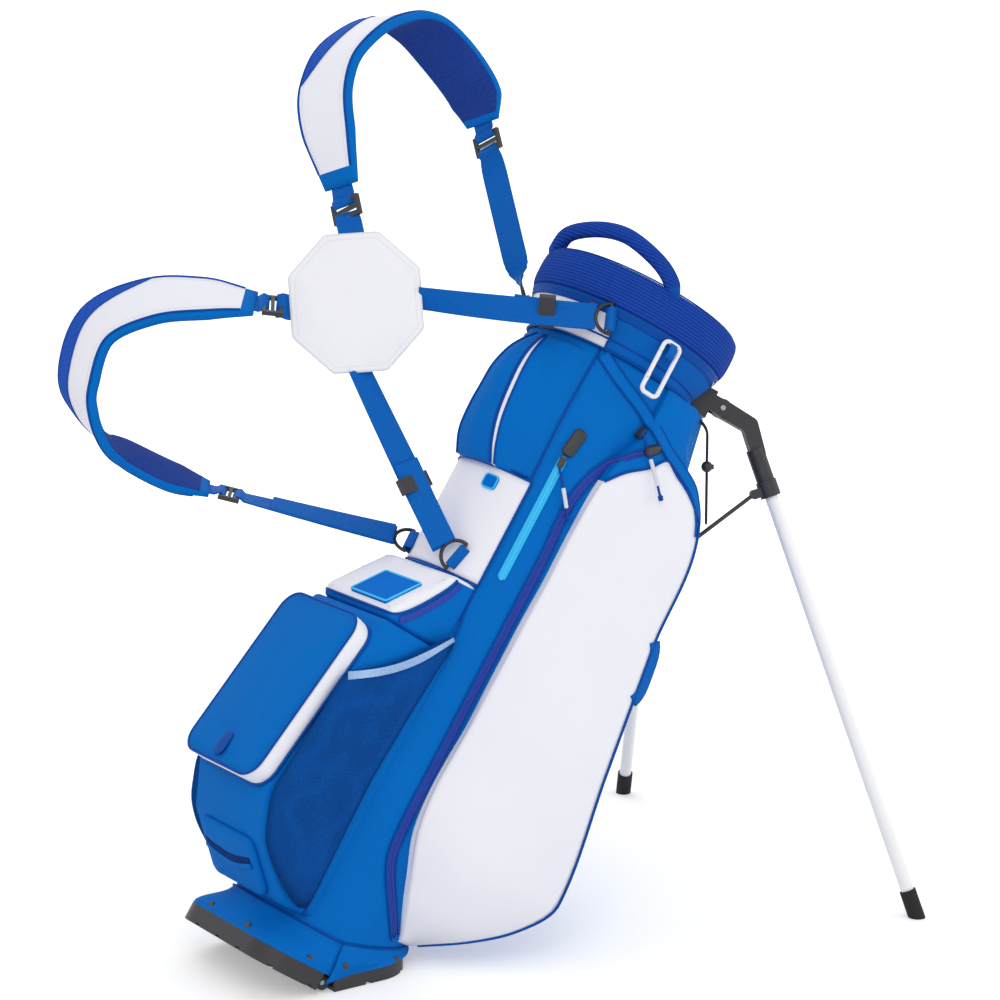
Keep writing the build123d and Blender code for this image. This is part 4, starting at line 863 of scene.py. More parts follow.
slope = math.radians(body["slope"])
skirtRows = []
for i in range(15):
    share = i / 14
    row = []
    for k in range(97):
        bearing = math.radians(-106 + 212 * k / 96)
        x, y = outlineAt(bearing)
        low = platePoint(max(skirt["hinge"], x), y, skirt["rim"] - 4 * max(0.0, 1 - x / 30))
        reach = skirt["reach"]
        sx = bag["axis"] + reach * math.cos(bearing)
        sx = max(skirt["hinge"], sx)
        sz = body["low"] + (sx - body["seamTurn"]) * math.tan(slope)
        high = bagPoint(sx, reach * math.sin(bearing), sz)
        away = (outWay(-math.degrees(bearing)) + Vector((0.3, 0, 0))).normalized()
        crease = noise.noise(Vector((bearing * 3, share * 3, 0)))
        bulge = math.sin(math.pi * share) * (skirt["fold"] + 2.5 * crease)
        row.append(low.lerp(high, share) + away * bulge / 1000)
    skirtRows.append(row)
skirtCloth = sheetPiece("front_skirt_cloth", skirtRows, ["royalFabric", "liningAndMouthShade"], 1.6,
                        inside=lambda p: Vector((0.0, 0, 0.03)))
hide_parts("front_skirt")
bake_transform(skirtCloth)
seamLine = [skirtRows[-1][k] + outWay(0) * 0.0004 for k in range(97)]
piped("front_seam_piping", [seamLine], 1.3)


# Round parts about the bag's axis.
def lathe(name, profile, used, columns, pick, wobble):
    count = len(profile)
    verts, faces, chosen = [], [], []
    for i in range(columns):
        angle = 360 * i / columns
        verts += [onBag(angle, reach + wobble * softness(angle, z * 1.7), z) for reach, z in profile]
        for j in range(count):
            n, m = (i + 1) % columns, (j + 1) % count
            faces.append((i * count + j, i * count + m, n * count + m, n * count + j))
            chosen.append(pick(360 * (i + 0.5) / columns, j) if pick else 0)
    return closedOut(newPiece(name, verts, faces, used, chosen))


cuff = {"whiteStart": 134.0, "whiteEnd": 226.0}
cuffOuter = [(101.6, 767.5), (102.3, 774), (103.0, 780), (105.6, 786), (108.4, 792), (111.2, 798),
             (113.9, 804), (116.0, 809), (117.6, 814)]
cuffProfile = cuffOuter + [(112, 814), (105, 797), (97.5, 778), (97.5, 767.5)]


def cuffLook(angle, j):
    if j >= 8:
        return 2
    return 1 if cuff["whiteStart"] < angle < cuff["whiteEnd"] and j < 6 else 0


cuffCloth = lathe("top_cuff_cloth", cuffProfile, ["cuffFabric", "whiteFabric", "liningAndMouthShade"], 180, cuffLook,
                  0.5)
finish(cuffCloth, "mesh_blue", "top_cuff")


def ringLine(reach, height, start=0, end=360):
    count = round((end - start) / 3)
    return [onBag(start + (end - start) * k / count, reach, height) for k in range(count + 1)]


trimRows = [ringLine(reach, z, 0, 357) for reach, z in ((114.2, 803.2), (114.9, 804.4), (116.1, 807.5),
                                                        (117.7, 811.5), (118.4, 813.6), (117.2, 814.4))]
cuffTrim = sheetPiece("cuff_trim", trimRows, ["piping"], 1.0, wrap=True)
finish(cuffTrim, "mesh_blue")
sewn("cuff_stitching", [ringLine(115.5, 805.2), ringLine(117.5, 810.4)], "mesh_blue")
piped("cuff_seams", [ringLine(102.6, 768.2, 0, 357), ringLine(103.6, 780.4, 0, 357)], 1.1, "mesh_blue",
      closed=True)
edgeOfWhite = [[onBag(a, r + 0.9, z) for r, z in cuffOuter[:7]] for a in cuff.values()]
piped("cuff_white_piping", edgeOfWhite, 0.9, "mesh_blue")

# Padded collar round the opening.
rim = {"inner": 105.4, "outer": 122.2, "low": 814.0, "high": 859.6, "pressure": 4.0, "cap": 2.5,
       "columns": 150}
rimMiddle, rimHalf = (rim["outer"] + rim["inner"]) / 2, (rim["outer"] - rim["inner"]) / 2
rimLevel, rimTall = (rim["low"] + rim["high"]) / 2, (rim["high"] - rim["low"]) / 2
rimProfile = []
for k in range(26):
    c, s = circle(k, 26)
    rimProfile.append((rimMiddle + rimHalf * math.copysign(abs(c) ** 0.62, c),
                       rimLevel + rimTall * math.copysign(abs(s) ** 0.72, s)))
rimPad = lathe("rim_collar", rimProfile, ["rimKnit"], rim["columns"], None, 0.7)


def onRimSeam(index):
    return toBag(rimPad.data.vertices[index].co).z < rim["low"] + 5


puffed(rimPad, rim["pressure"], rim["cap"], onRimSeam)
finish(rimPad, "mesh_blue", "rim_pad")
piped("rim_top_seam", [ringLine(114.5, 860.3, 0, 357)], 0.9, "mesh_blue", closed=True)

# Crossed dividers and the full-length sleeves below them.
divider = {"width": 14.4, "low": 824.0, "high": 847.5, "reach": 104.6, "wall": 1.6, "sleeve": 96.3,
           "floor": 60.0}


def crossArm(name, turn):
    c, s = math.cos(math.radians(turn)), math.sin(math.radians(turn))
    middle = (divider["high"] + divider["low"]) / 2
    verts = []
    for k in range(41):
        along = -divider["reach"] + 2 * divider["reach"] * k / 40
        thin = 1.0 - 0.10 * math.cos(math.pi * along / divider["reach"])
        for a, b in roundProfile(divider["width"] * thin, divider["high"] - divider["low"], 22, 3.0):
            verts.append(bagPoint(bag["axis"] + along * c - a * s, along * s + a * c, middle + b))
    return closedOut(newPiece(name, verts, tubeFaces(41, 22), ["rimKnit"]))


def sleeveWall(name, turn):
    c, s = math.cos(math.radians(turn)), math.sin(math.radians(turn))
    verts = []
    for i in range(25):
        for k in range(17):
            along = divider["sleeve"] * (k / 8 - 1)
            x, y = bag["axis"] + along * c, along * s
            low = divider["floor"] + max(0.0, x + 14) * math.tan(slope)
            height = low + (divider["low"] - low) * i / 24
            wave = 1.5 * noise.noise(Vector((along / 40, height / 90, turn))) * math.sin(math.pi * k / 16)
            verts.append(bagPoint(x - wave * s, y + wave * c, height))
    return newPiece(name, verts, gridFaces(25, 17), ["liningAndMouthShade"])


cross = joined("divider_padding", [crossArm("arm_a", 45), crossArm("arm_b", -45)])
finish(cross, "pad_fabric", "divider_cross")
sleeves = joined("sleeve_walls", [sleeveWall("wall45", 45), sleeveWall("wall-45", -45)])
applied(sleeves, "SOLIDIFY", thickness=divider["wall"] / 1000, offset=0.0)
finish(sleeves, "fabric_blue", "club_sleeves")
print("skirt, cuff, collar and dividers made")


# Side pockets: belly, gusset, piped corner, swelling panel, zip wall and back.
pocket = {"bottom": 88.0, "top": 766.0, "belly": 33.0, "root": 95.0, "bulge": 11.0, "fullWidth": 206.0,
          "rowsBelow": 46, "rowsAbove": 14,
          "panelTop": [(0, 651), (.09, 670), (.27, 684), (.42, 694), (.53, 690), (.7, 675), (.9, 656),
                       (1, 637)],
          "sections": [(0, 40, 100, 48, 105, 64, 104), (.05, 40, 125, 51, 163, 78, 108),
                       (.1, 40, 145, 50, 204, 88, 110), (.17, 40, 150, 50, 232, 99, 112),
                       (.39, 40, 150, 51, 214, 100, 112), (.61, 40, 150, 52, 196, 99, 112),
                       (.83, 40, 146, 55, 180, 96, 112), (.92, 40, 134, 64, 138, 84, 108),
                       (1, 40, 124, 60, 121, 82, 104)]}
spans = {"belly": 8, "gusset": 10, "panel": 40, "wall": 7}


def panelTop(c):
    return hermite(pocket["panelTop"], c)[0]


def flatSpot(angle, reach):
    x, y = flatAngle(angle, reach)
    return Vector((x, y, 0))


def pocketCorners(height):
    share = min(1.0, max(0.0, (height - pocket["bottom"]) / (pocket["top"] - pocket["bottom"])))
    gusset, gussetReach, corner, cornerReach, edge, edgeReach = hermite(pocket["sections"], share)
    return (flatSpot(pocket["belly"], pocket["root"]), flatSpot(gusset, gussetReach),
            flatSpot(corner, cornerReach), flatSpot(edge, edgeReach), flatSpot(edge, pocket["root"]))


def pocketSpot(part, t, height):
    # A point on one of the pocket's four faces, t from 0 to 1 across it.
    belly, gusset, piped, zipped, back = pocketCorners(height)
    if part == "panel":
        across = zipped - piped
        normal = Vector((across.y, -across.x, 0)).normalized()
        if normal.dot(piped + zipped - 2 * Vector((bag["axis"], 0, 0))) < 0:
            normal = -normal
        swell = pocket["bulge"] * min(1.0, across.length / pocket["fullWidth"]) * (1 - abs(2 * t - 1) ** 2.3)
        slack = 1.6 * noise.noise(Vector((t * 3, height / 120, 5))) * math.sin(math.pi * t)
        return piped.lerp(zipped, t) + normal * (swell + slack)
    first, last = {"belly": (belly, gusset), "gusset": (gusset, piped), "wall": (zipped, back)}[part]
    way = last - first
    normal = Vector((way.y, -way.x, 0)).normalized()
    slack = 2.0 * noise.noise(Vector((t * 2, height / 70, 9))) * math.sin(math.pi * t)
    return first.lerp(last, t) + normal * slack


def pocketRows(near):
    columns = []
    for part, count in spans.items():
        for k in range(count + (part == "wall")):
            columns.append((part, k / count))
    rows = []
    total = pocket["rowsBelow"] + pocket["rowsAbove"]
    for i in range(-2, total + 3):
        row = []
        for part, t in columns:
            c = t if part == "panel" else (1.0 if part == "wall" else 0.0)
            edge = panelTop(c)
            if i <= 0:
                height = pocket["bottom"]
            elif i <= pocket["rowsBelow"]:
                share = i / pocket["rowsBelow"]
                height = pocket["bottom"] + (edge - pocket["bottom"]) * (share ** 1.25)
            else:
                share = min(1.0, (i - pocket["rowsBelow"]) / pocket["rowsAbove"])
                height = edge + (pocket["top"] - edge) * share
            spot = pocketSpot(part, t, height)
            past = -i if i < 0 else max(0, i - total)
            if past:
                flat = Vector((spot.x - bag["axis"], spot.y, 0))
                spot = Vector((bag["axis"], 0, 0)) + flat * (1 - past / 2 * (1 - 96 / max(97, flat.length)))
                height += (past * 1.5) if i > 0 else -past * 1.5
            row.append(bagPoint(spot.x, spot.y if near else -spot.y, height))
        rows.append(row)
    return rows, columns


pocketCloths = {}
for near in (True, False):
    side = "near" if near else "far"
    rows, columns = pocketRows(near)
    panelRows = pocket["rowsBelow"] + 2

    def pocketLook(i, j):
        part, t = columns[j]
        if part == "panel" and i < panelRows:
            return 1
        return 1 if part == "wall" and t < 0.75 and i < panelRows else 0

    cloth = sheetPiece("side_pocket_" + side + "_cloth", rows, ["royalFabric", "whiteFabric", "indigoZip"],
                       1.8, pick=pocketLook)
    finish(cloth, "fabric_blue", "side_pocket_" + side, "side_panel_" + side)
    pocketCloths[side] = cloth


def liftedSpot(part, t, height, lift, near):
    # A point of the pocket's cloth, moved straight out from the bag's axis.
    spot = pocketSpot(part, t, height)
    flat = Vector((spot.x - bag["axis"], spot.y, 0)).normalized() * lift
    return bagPoint(spot.x + flat.x, (spot.y + flat.y) * (1 if near else -1), height)


def cornerLine(t, low, high, lift, near):
    count = round((high - low) / 6.0)
    return [liftedSpot("panel", t, low + (high - low) * k / count, lift, near) for k in range(count + 1)]


def topLine(lift, near, drop=0.0, start=0.0, end=1.0):
    spots = [start + (end - start) * k / 40 for k in range(41)]
    return [liftedSpot("panel", c, panelTop(c) - drop, lift, near) for c in spots]


pipes, threads = [], []
for near in (True, False):
    pipes += [cornerLine(0.0, 92, panelTop(0), 0.6, near), topLine(0.8, near)]
    threads += [cornerLine(0.022, 110, panelTop(0) - 4, 0.3, near), topLine(0.4, near, 5.0, 0.03, 0.97)]
piped("pocket_piping", pipes, 1.6)
sewn("pocket_stitching", threads, "fabric_white", "threadWhite")
bodyTree = skinOf([shell, lower])
dressTree = skinOf([shell, lower, cuffCloth, pocketCloths["near"]])


def surfaceLine(spots, lift, tree=None, near=True):
    # A line over the bag through rows of angle and height.
    path = smoothPath([Vector((a, z, 0)) for a, z in spots], 10)
    line = [laidOn(tree or dressTree, p.x, p.y, lift) for p in path]
    return line if near else [mirrored(p) for p in line]


def settled(path, rounds):
    for _ in range(rounds):
        path = [path[0]] + [(a + b * 2 + c) / 4 for a, b, c in zip(path, path[1:], path[2:])] + [path[-1]]
    return path


# The back seam runs down the flank of the ball pocket and up beside the white panel on the spine.
flankSeam = [(76, 64), (79, 90), (82, 150), (84, 225), (78, 315), (72, 390), (70, 412)]
lines = []
for near in (True, False):
    above = surfaceLine([(134.6, 432), (135.2, 447), (135.4, 480), (135.4, 540), (136.6, 597), (137.5, 662),
                         (137, 720), (136, 766)], 0.8, bodyTree, near=near)
    flank = smoothPath([Vector((x, z, 0)) for x, z in flankSeam], 10)
    flank = [bagPoint(bag["axis"] - p.x, (-75.4 if near else 75.4), p.y) for p in flank]
    lines.append(settled(evenPath(flank + above, 0.005), 4))
piped("body_seam_piping", lines, 1.5)
sideStitches = [surfaceLine([(132.6, 470), (132.8, 540), (134.2, 597), (134.9, 662), (134.6, 720)], 0.3,
                            bodyTree, near=near) for near in (True, False)]
sewn("body_stitching", sideStitches)


def flatStrap(name, path, outOf, width, thick, used, size=None):
    # A strap that lies on a surface, its flat side facing the way that outOf gives.
    across = [outOf(p).cross(wayAt(path, i)).normalized() for i, p in enumerate(path)]
    return ribbon(name, path, across, roundProfile(width, thick, 14, 5.0), used, None, size)


def offAxis(point):
    spot = toBag(point)
    return bagWay(spot.x - bag["axis"], spot.y, 0).normalized()


# The zip runs up beside the white panel and over its top, between two rows of piping.
edgeZip = {"route": [(71, 89), (78, 100), (89, 123), (100, 150), (105.5, 185), (106, 300), (106, 458),
                     (106, 534), (107.5, 575), (107, 606), (102.5, 637), (95, 662), (87, 681), (81, 691)],
           "width": 9.0, "thick": 1.6, "rail": 5.6, "tooth": 1.3}
sash = {"route": [(133, 763), (120, 750), (106, 739), (92, 731), (82, 721), (73, 704), (65, 690), (58.5, 676),
                  (54.6, 655), (53.3, 636)], "width": 14.0, "thick": 2.2}


def sideRails(path, reach, lift):
    # Two lines beside a strap's middle, lifted off the cloth.
    rails = []
    for sign in (-1, 1):
        sides = [offAxis(p).cross(wayAt(path, i)).normalized() * sign for i, p in enumerate(path)]
        rails.append([p + (side * reach + offAxis(p) * lift) / 1000 for p, side in zip(path, sides)])
    return rails


def zipEnds(share):
    # The tape narrows right at its ends.
    return min(1.0, 0.35 + 40 * min(share, 1 - share)), 1.0


zipParts, sashParts, rails, zipTeeth, sashRails = [], [], [], [], []
for near in (True, False):
    path = settled(evenPath(surfaceLine(edgeZip["route"], 0.9, near=near), 0.004), 4)
    zipParts.append(flatStrap("zip_%d" % near, path, offAxis, edgeZip["width"], edgeZip["thick"],
                              ["indigoZip"], zipEnds))
    rails += sideRails(path, edgeZip["rail"], 0.5)
    zipTeeth += sideRails(path, edgeZip["tooth"], 0.9)
    path = settled(evenPath(surfaceLine(sash["route"], 1.0, near=near), 0.004), 5)
    sashParts.append(flatStrap("sash_%d" % near, path, offAxis, sash["width"], sash["thick"],
                               ["royalFabric"]))
    sashRails += sideRails(path, sash["width"] / 2 - 0.4, 0.5)
finish(joined("pocket_edge_zip", zipParts), "zip_cyan")
finish(joined("pocket_sash", sashParts), "fabric_blue")
piped("zip_rails", rails, 1.2)
piped("zip_teeth", zipTeeth, 0.8, "zip_cyan", "indigoZip")
piped("sash_piping", sashRails, 1.3)
print("side pockets made")

# Ball pocket with its lid, mesh pockets and drink pocket, down the spine side.
ball = {"reach": 222.0, "foot": 166.0, "tilt": 8.7, "width": 150.0, "height": 212.0, "corner": 24.0,
        "crown": 5.0, "pressure": 4.0, "cap": 4.0}
tilt = math.radians(ball["tilt"])
slabOut = bagWay(-math.cos(tilt), 0, math.sin(tilt))
slabUp = bagWay(math.sin(tilt), 0, math.cos(tilt))
slabRight = bagWay(0, -1, 0)
slabFoot = bagPoint(bag["axis"] - ball["reach"], 0, ball["foot"])
slabPlane = (slabFoot + slabUp * ball["height"] / 2000, slabRight, slabUp, slabOut)


def sideProfile(name, points, half, used, pick=None, round_=8.0, segments=4):
    # A block with an outline along the bag, its edges rounded over.
    count = len(points)
    verts = [bagPoint(bag["axis"] - reach, y, z) for y in (-half, half) for reach, z in points]
    faces = [tuple(range(count)), tuple(reversed(range(count, 2 * count)))]
    faces += [(k, count + k, count + (k + 1) % count, (k + 1) % count) for k in range(count)]
    piece = closedOut(newPiece(name, verts, faces, used))
    applied(piece, "BEVEL", width=round_ / 1000, segments=segments, limit_method="ANGLE", angle_limit=0.4)
    if pick:
        for face in piece.data.polygons:
            face.material_index = pick(toBag(face.center), face.normal)
    return piece


ballCloth = sideProfile("ball_pocket_cloth", [(62, 386), (162, 386), (195.7, 166), (169.7, 115), (110, 64),
                                              (62, 64)],
                        75, ["royalFabric"], None, 7.0)
finish(ballCloth, "fabric_blue", "ball_pocket")
slabOutline = roundedOutline(ball["width"], ball["height"], ball["corner"], 8)
gusset = cushion("ball_pocket_gusset", slabPlane, slabOutline,
                 [(6, -27), (3.2, -25), (1.2, -20), (0.6, -13), (0.8, -6), (1.6, -2.4), (4, -1.6)], 0.5,
                 ["whiteFabric"])
finish(gusset, "fabric_white", "ball_gusset")
panel = cushion("ball_pocket_panel", slabPlane, slabOutline,
                [(5, -4.5), (2.2, -3.6), (1.4, -2.0), (2.2, -0.8), (4.5, 0.0)], ball["crown"],
                ["royalFabric"], rings=14, wrinkle=1.2)
panelEdge = len(slabOutline) * 5
puffed(panel, ball["pressure"], ball["cap"], lambda index: index < panelEdge)
finish(panel, "fabric_blue", "ball_panel")


def outlinePath(plane, outline, inset, height):
    origin, right, up, out = plane
    return [origin + (right * x + up * y + out * height) / 1000 for x, y in insetOutline(outline, inset)]


piped("ball_pocket_piping", [outlinePath(slabPlane, slabOutline, 1.0, -1.2),
                             outlinePath(slabPlane, slabOutline, 1.6, -24.5)], 1.5, closed=True)
sewn("ball_pocket_stitching", [outlinePath(slabPlane, slabOutline, 6.0, 1.2)], closed=True)
puller = {"down": 84.0, "outline": [(-7, 13), (7, 13), (8, -8), (4, -14), (-4, -14), (-8, -8)]}
pullPlane = (slabPlane[0] - slabUp * puller["down"] / 1000 + slabOut * 0.002, slabRight, slabUp, slabOut)
tab = cushion("ball_pocket_tab", pullPlane, softOutline(puller["outline"], 4), [(0, 0), (0, 1.2), (1, 2.2)],
              0.6, ["piping"])
finish(tab, "fabric_blue")

lid = {"half": 70.0, "patchWide": 74.0, "patchTall": 50.0, "whiteDown": 394}


def lidLook(spot, normal):
    return 2 if abs(normal.y) > 0.8 or spot.z < lid["whiteDown"] else 0


lidCloth = sideProfile("lid_cloth", [(62, 386), (156, 386), (156.5, 402), (102, 466), (62, 468)], lid["half"],
                       ["whiteFabric", "indigoZip", "royalFabric"], lidLook, 14.0, 6)
applied(lidCloth, "SUBSURF", levels=1, render_levels=1)
finish(lidCloth, "fabric_white", "lid_pocket")
lidRight, lidUp, lidOut = bagWay(0, -1, 0), bagWay(0.6449, 0, 0.7643), bagWay(-0.7643, 0, 0.6449)
patchPlane = (bagPoint(-113.5, -15, 421.6), lidRight, lidUp, lidOut)
lidTree = skinOf([lidCloth])


def badgeParts(name, edgeName, plane, outline, layers, edgeInset, edgeLift, edgeRadius):
    # A blue badge with a cyan edge.
    middle = cushion(name, plane, outline, layers, 0.5, ["cyanThread", "badgeBlue"], lambda n: 1)
    edge = tubes(edgeName, [outlinePath(plane, outline, edgeInset, edgeLift)], edgeRadius, "cyanThread",
                 closed=True)
    return [middle, edge]


patch = badgeParts("lid_patch", "lid_patch_border", patchPlane,
                   roundedOutline(lid["patchWide"], lid["patchTall"], 4), [(0, -1.0), (0, 1.6), (0.8, 2.4)],
                   1.2, 2.2, 1.3)


def snug(tree, points, lift):
    # Lays a line on the nearest cloth and lifts it a little.
    found = [tree.find_nearest(p) for p in points]
    return [hit[0] + hit[1] * lift / 1000 for hit in found]


# The white top wraps down over both sides to a piped edge, with the zip below it.
sideEdge = [(-72, 464), (-77.5, 450.6), (-92.7, 428.5), (-107.2, 410.5), (-120, 398.5), (-130, 394)]
frontEdge = [(-143, -68, 393), (-151, -59, 393.5), (-155, -42, 394), (-155, 0, 394), (-155, 42, 394),
             (-151, 59, 393.5), (-143, 68, 393)]
brimPath = [(x, -72, z) for x, z in sideEdge] + frontEdge + [(x, 72, z) for x, z in reversed(sideEdge)]
lidBrim = snug(lidTree, evenPath(smoothPath([bagPoint(*p) for p in brimPath], 8), 0.003), 0.8)
lidBrim = settled(evenPath(settled(lidBrim, 4), 0.003), 4)
lidZips, lidCheeks = [], []
for sign in (-1, 1):
    low = evenPath(smoothPath([bagPoint(x, sign * 72, z) for x, z in sideEdge], 8), 0.004)
    cheek = low + [bagPoint(-141, sign * 68, 394), bagPoint(-148, sign * 61, 394.5)]
    rises = [lidOut * 0.036 * k / 8 + bagWay(0, -sign, 0) * 0.006 * (k / 8) ** 4 for k in range(9)]
    rows = [snug(lidTree, [p + rise for p in cheek], 0.45) for rise in rises]
    lidCheeks.append(sheetPiece("lid_cheek_%d" % sign, rows, ["whiteFabric"], 0.5,
                                inside=bagPoint(-70, 0, 410)))
    under = [p - bagWay(-0.777, 0, 0.63) * 0.0072 for p in low[:-2]]
    lidZips.append(flatStrap("lid_zip_%d" % sign, snug(lidTree, under, 0.7), lambda p: bagWay(0, sign, 0),
                             8.0, 1.4, ["indigoZip"]))
finish(joined("lid_cheeks", lidCheeks), "fabric_white")
finish(joined("lid_zip", lidZips), "zip_cyan")
piped("lid_piping", [lidBrim], 1.6)

# Mesh pockets on the ball pocket's flanks, each with a reflective band along its mouth.
meshOutline = [(74, 406), (98, 376), (122, 350), (150, 328), (176, 312), (188.5, 166), (170, 123),
               (150, 104), (116, 84), (84, 71), (87, 150), (89, 225), (83, 315)]
for side, sign in (("near", -1), ("far", 1)):
    plane = (bagPoint(bag["axis"], sign * 74.5, 0), bagWay(-1, 0, 0), bagUp, bagWay(0, sign, 0))
    net = cushion("mesh_pocket_" + side, plane, softOutline(meshOutline, 14),
                  [(0, -1.0), (0, 2.0), (1.2, 5.0), (5, 6.6)], 2.6, ["meshFabric"], rings=10, wrinkle=2.0)
    finish(net, "mesh_blue")
    trimPath = []
    for k in range(31):
        bow = math.sin(math.pi * k / 30)
        x, y = 74 + 102 * k / 30 - 5.5 * bow, 404 - 92 * k / 30 - 7.5 * bow
        trimPath.append(plane[0] + (plane[1] * x + plane[2] * y + plane[3] * (7.3 + 1.8 * bow)) / 1000)
    trim = flatStrap("mouth_band_" + side, trimPath, lambda p: plane[3], 9.0, 1.4, ["reflective"],
                     lambda share: (0.55 + 0.45 * min(1.0, share * 3), 1.0))
    finish(trim, "mesh_blue")
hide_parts("mesh_pockets")
drink = {"length": 70.5, "width": 110.0}
drinkOut = bagWay(-(115 - 64), 0, -(143.7 - 84)).normalized()
drinkRight = bagWay(0, -1, 0)
drinkUp = drinkRight.cross(drinkOut) * -1
drinkUp = drinkUp if drinkUp.dot(bagUp) > 0 else -drinkUp
drinkPlane = (bagPoint(-113.85, 0, 89.5), drinkRight, drinkUp, drinkOut)
drinkOutline = roundedOutline(drink["width"], drink["length"], 12)
drinkCloth = cushion("drink_pocket_cloth", drinkPlane, drinkOutline, [(0, 0), (0, 4), (1.5, 7), (5, 8)], 2.5,
                     ["royalFabric"], rings=8, wrinkle=1.5)
finish(drinkCloth, "mesh_blue", "drink_pocket")
drinkTree = skinOf([drinkCloth])


def drinkLine(half, rise, sag, lift, above):
    # A line across the pocket's mouth, laid on its cloth.
    path = []
    for k in range(31):
        x, y = -half + 2 * half * k / 30, rise - sag * math.sin(math.pi * k / 30)
        path.append(drinkPlane[0] + (drinkRight * x + drinkUp * y + drinkOut * lift) / 1000)
    return settled(snug(drinkTree, [p + drinkOut * 0.02 for p in path], above), 2)


drinkMouth = [
    flatStrap("elastic", drinkLine(50, 4, 8, 9.6, 1.2), lambda p: drinkOut, 6.0, 2.2, ["royalFabric"]),
    # A dark strip below the elastic: painted shade standing in for the shadowed recess of the pocket's mouth,
    # as the pocket itself is a closed cushion.
    flatStrap("opening", drinkLine(49, 9, 5, 8.9, 0.4), lambda p: drinkOut, 9.0, 1.2, ["liningAndMouthShade"])]
finish(joined("drink_pocket_mouth", drinkMouth), "mesh_blue")

# Panel on the spine with its badge, and the pocket above it.
spine = {"start": 135.0, "end": 225.0, "low": 468.0, "high": 598.0}
spineTurn = spine["end"] - spine["start"]
spineRows = []
for i in range(15):
    height = spine["low"] + (spine["high"] - spine["low"]) * i / 14
    spineRows.append([onBag(spine["start"] + spineTurn * k / 40,
                            101.8 + 0.5 * softness(spine["start"] + k * 2.2, height),
                            height) for k in range(41)])
finish(sheetPiece("spine_cloth", spineRows, ["whiteFabric"], 1.6), "fabric_white", "spine_panel")
spineEdge = [ringLine(102.2, z, spine["start"], spine["end"]) for z in (spine["high"], spine["low"] + 1)]
for angle in (spine["start"], spine["end"]):
    spineEdge.append([onBag(angle, 102.0, spine["low"] + k * 6.5) for k in range(21)])
piped("spine_piping", spineEdge, 1.2)
badgePlane = (onBag(160, 102.2, 580), bagUp.cross(outWay(160)).normalized(), bagUp, outWay(160))
badge = badgeParts("spine_badge", "badge_border", badgePlane, roundedOutline(19, 17, 5),
                   [(0, -1.0), (0, 1.0), (0.8, 1.8)], 0.8, 1.6, 1.0)
finish(joined("badge_set", badge + patch), "zip_cyan", "badges")
pouch = {"low": 598.3, "high": 758.0, "root": 139.0, "valley": 151.0, "valleyLift": 3.0, "crown": 4.0,
         "ridge": [(0, 163, 12), (.12, 165, 22), (.35, 168, 29), (.6, 170, 30), (.8, 172, 24), (.93, 174, 13),
                   (1, 176, 4)]}
pouchRows = []
for i in range(-1, 34):
    share = min(1.0, max(0.0, i / 32))
    angle, lift = hermite(pouch["ridge"], share)
    if i < 0 or i > 32:
        lift = 0.0
    valley = min(lift, pouch["valleyLift"])
    half = [(pouch["root"], -1.5), (146, valley * 0.2 - 0.5), (pouch["valley"], valley * 0.8),
            (pouch["valley"] + (angle - pouch["valley"]) * 0.55, valley + (lift - valley) * 0.22),
            (angle - 2.6, lift * 0.72 + valley * 0.1), (angle - 1.2, lift * 0.9), (angle, lift),
            (angle + 2.2, lift * 1.03), (180, lift + pouch["crown"] * lift / 29)]
    half += [(360 - a, r) for a, r in half[-2::-1]]
    height = pouch["low"] + (pouch["high"] - pouch["low"]) * share
    path = smoothPath([Vector((a, r, 0)) for a, r in half], 5)
    row = []
    for p in path:
        slack = 0.8 * noise.noise(Vector((p.x / 9, height / 30, 2))) if lift else 0
        row.append(onBag(p.x, 100 + p.y + slack, height + (i < 0) * -1.0 + (i > 32) * 1.0))
    pouchRows.append(row)
pouchColumns = len(pouchRows[0])


def pouchLook(i, j):
    column = min(j, pouchColumns - 2 - j)
    return 1 if 21 <= column < 28 and i < 32 else 0


pouchCloth = sheetPiece("pouch_cloth", pouchRows, ["royalFabric", "whiteFabric"], 1.4, pick=pouchLook)
finish(pouchCloth, "fabric_blue", "upper_pouch")
ridgeLines = []
for column in (21, 28, 31):
    for place in (column, pouchColumns - 1 - column):
        ridgeLines.append([row[place] + offAxis(row[place]) * 0.0008 for row in pouchRows[1:-1]])
ridgeLines.append(ringLine(101.5, pouch["low"] + 3, pouch["root"], 360 - pouch["root"]))
piped("pouch_piping", ridgeLines, 1.2)

# Zips on the near side and the hoods that their sliders park under.
zips = {"angle": 124.5, "low": 486.0, "high": 640.0, "width": 10.0}
zipPath = evenPath([laidOn(dressTree, zips["angle"], zips["low"] + (zips["high"] - zips["low"]) * k / 40, 0.9)
                    for k in range(41)], 0.003)


def roundEnds(share):
    edge = min(share, 1 - share) * (zips["high"] - zips["low"]) / 5.0
    return (math.sqrt(max(0.04, 1 - (1 - min(1.0, edge)) ** 2)), 1.0)


sideZip = flatStrap("side_zip", zipPath, offAxis, zips["width"], 2.0, ["cyanZip"], roundEnds)
teeth = tubes("side_zip_teeth", [[p + offAxis(p) * 0.0011 for p in zipPath]], 1.1, "cyanThread", flat=1.6)
finish(joined("side_zip_tape", [sideZip, teeth]), "zip_cyan", "zips")
hoods = []
for angle, height, wide, tall, lean in ((123.0, 659, 15, 34, -8), (80, 695, 24, 12, 33)):
    spot = laidOn(dressTree, angle, height, 0.2)
    side = bagUp.cross(outWay(angle)).normalized()
    t = math.radians(lean)
    right, up = side * math.cos(t) + bagUp * math.sin(t), bagUp * math.cos(t) - side * math.sin(t)
    hoods.append(cushion("hood%d" % height, (spot, right, up, outWay(angle)), roundedOutline(wide, tall, 5.5),
                         [(0, -2.5), (0, 2.0), (0.6, 3.4), (1.8, 4.2)], 0.8, ["blackPlastic"]))
finish(joined("zip_hoods", hoods), "fabric_blue")
print("spine side made")

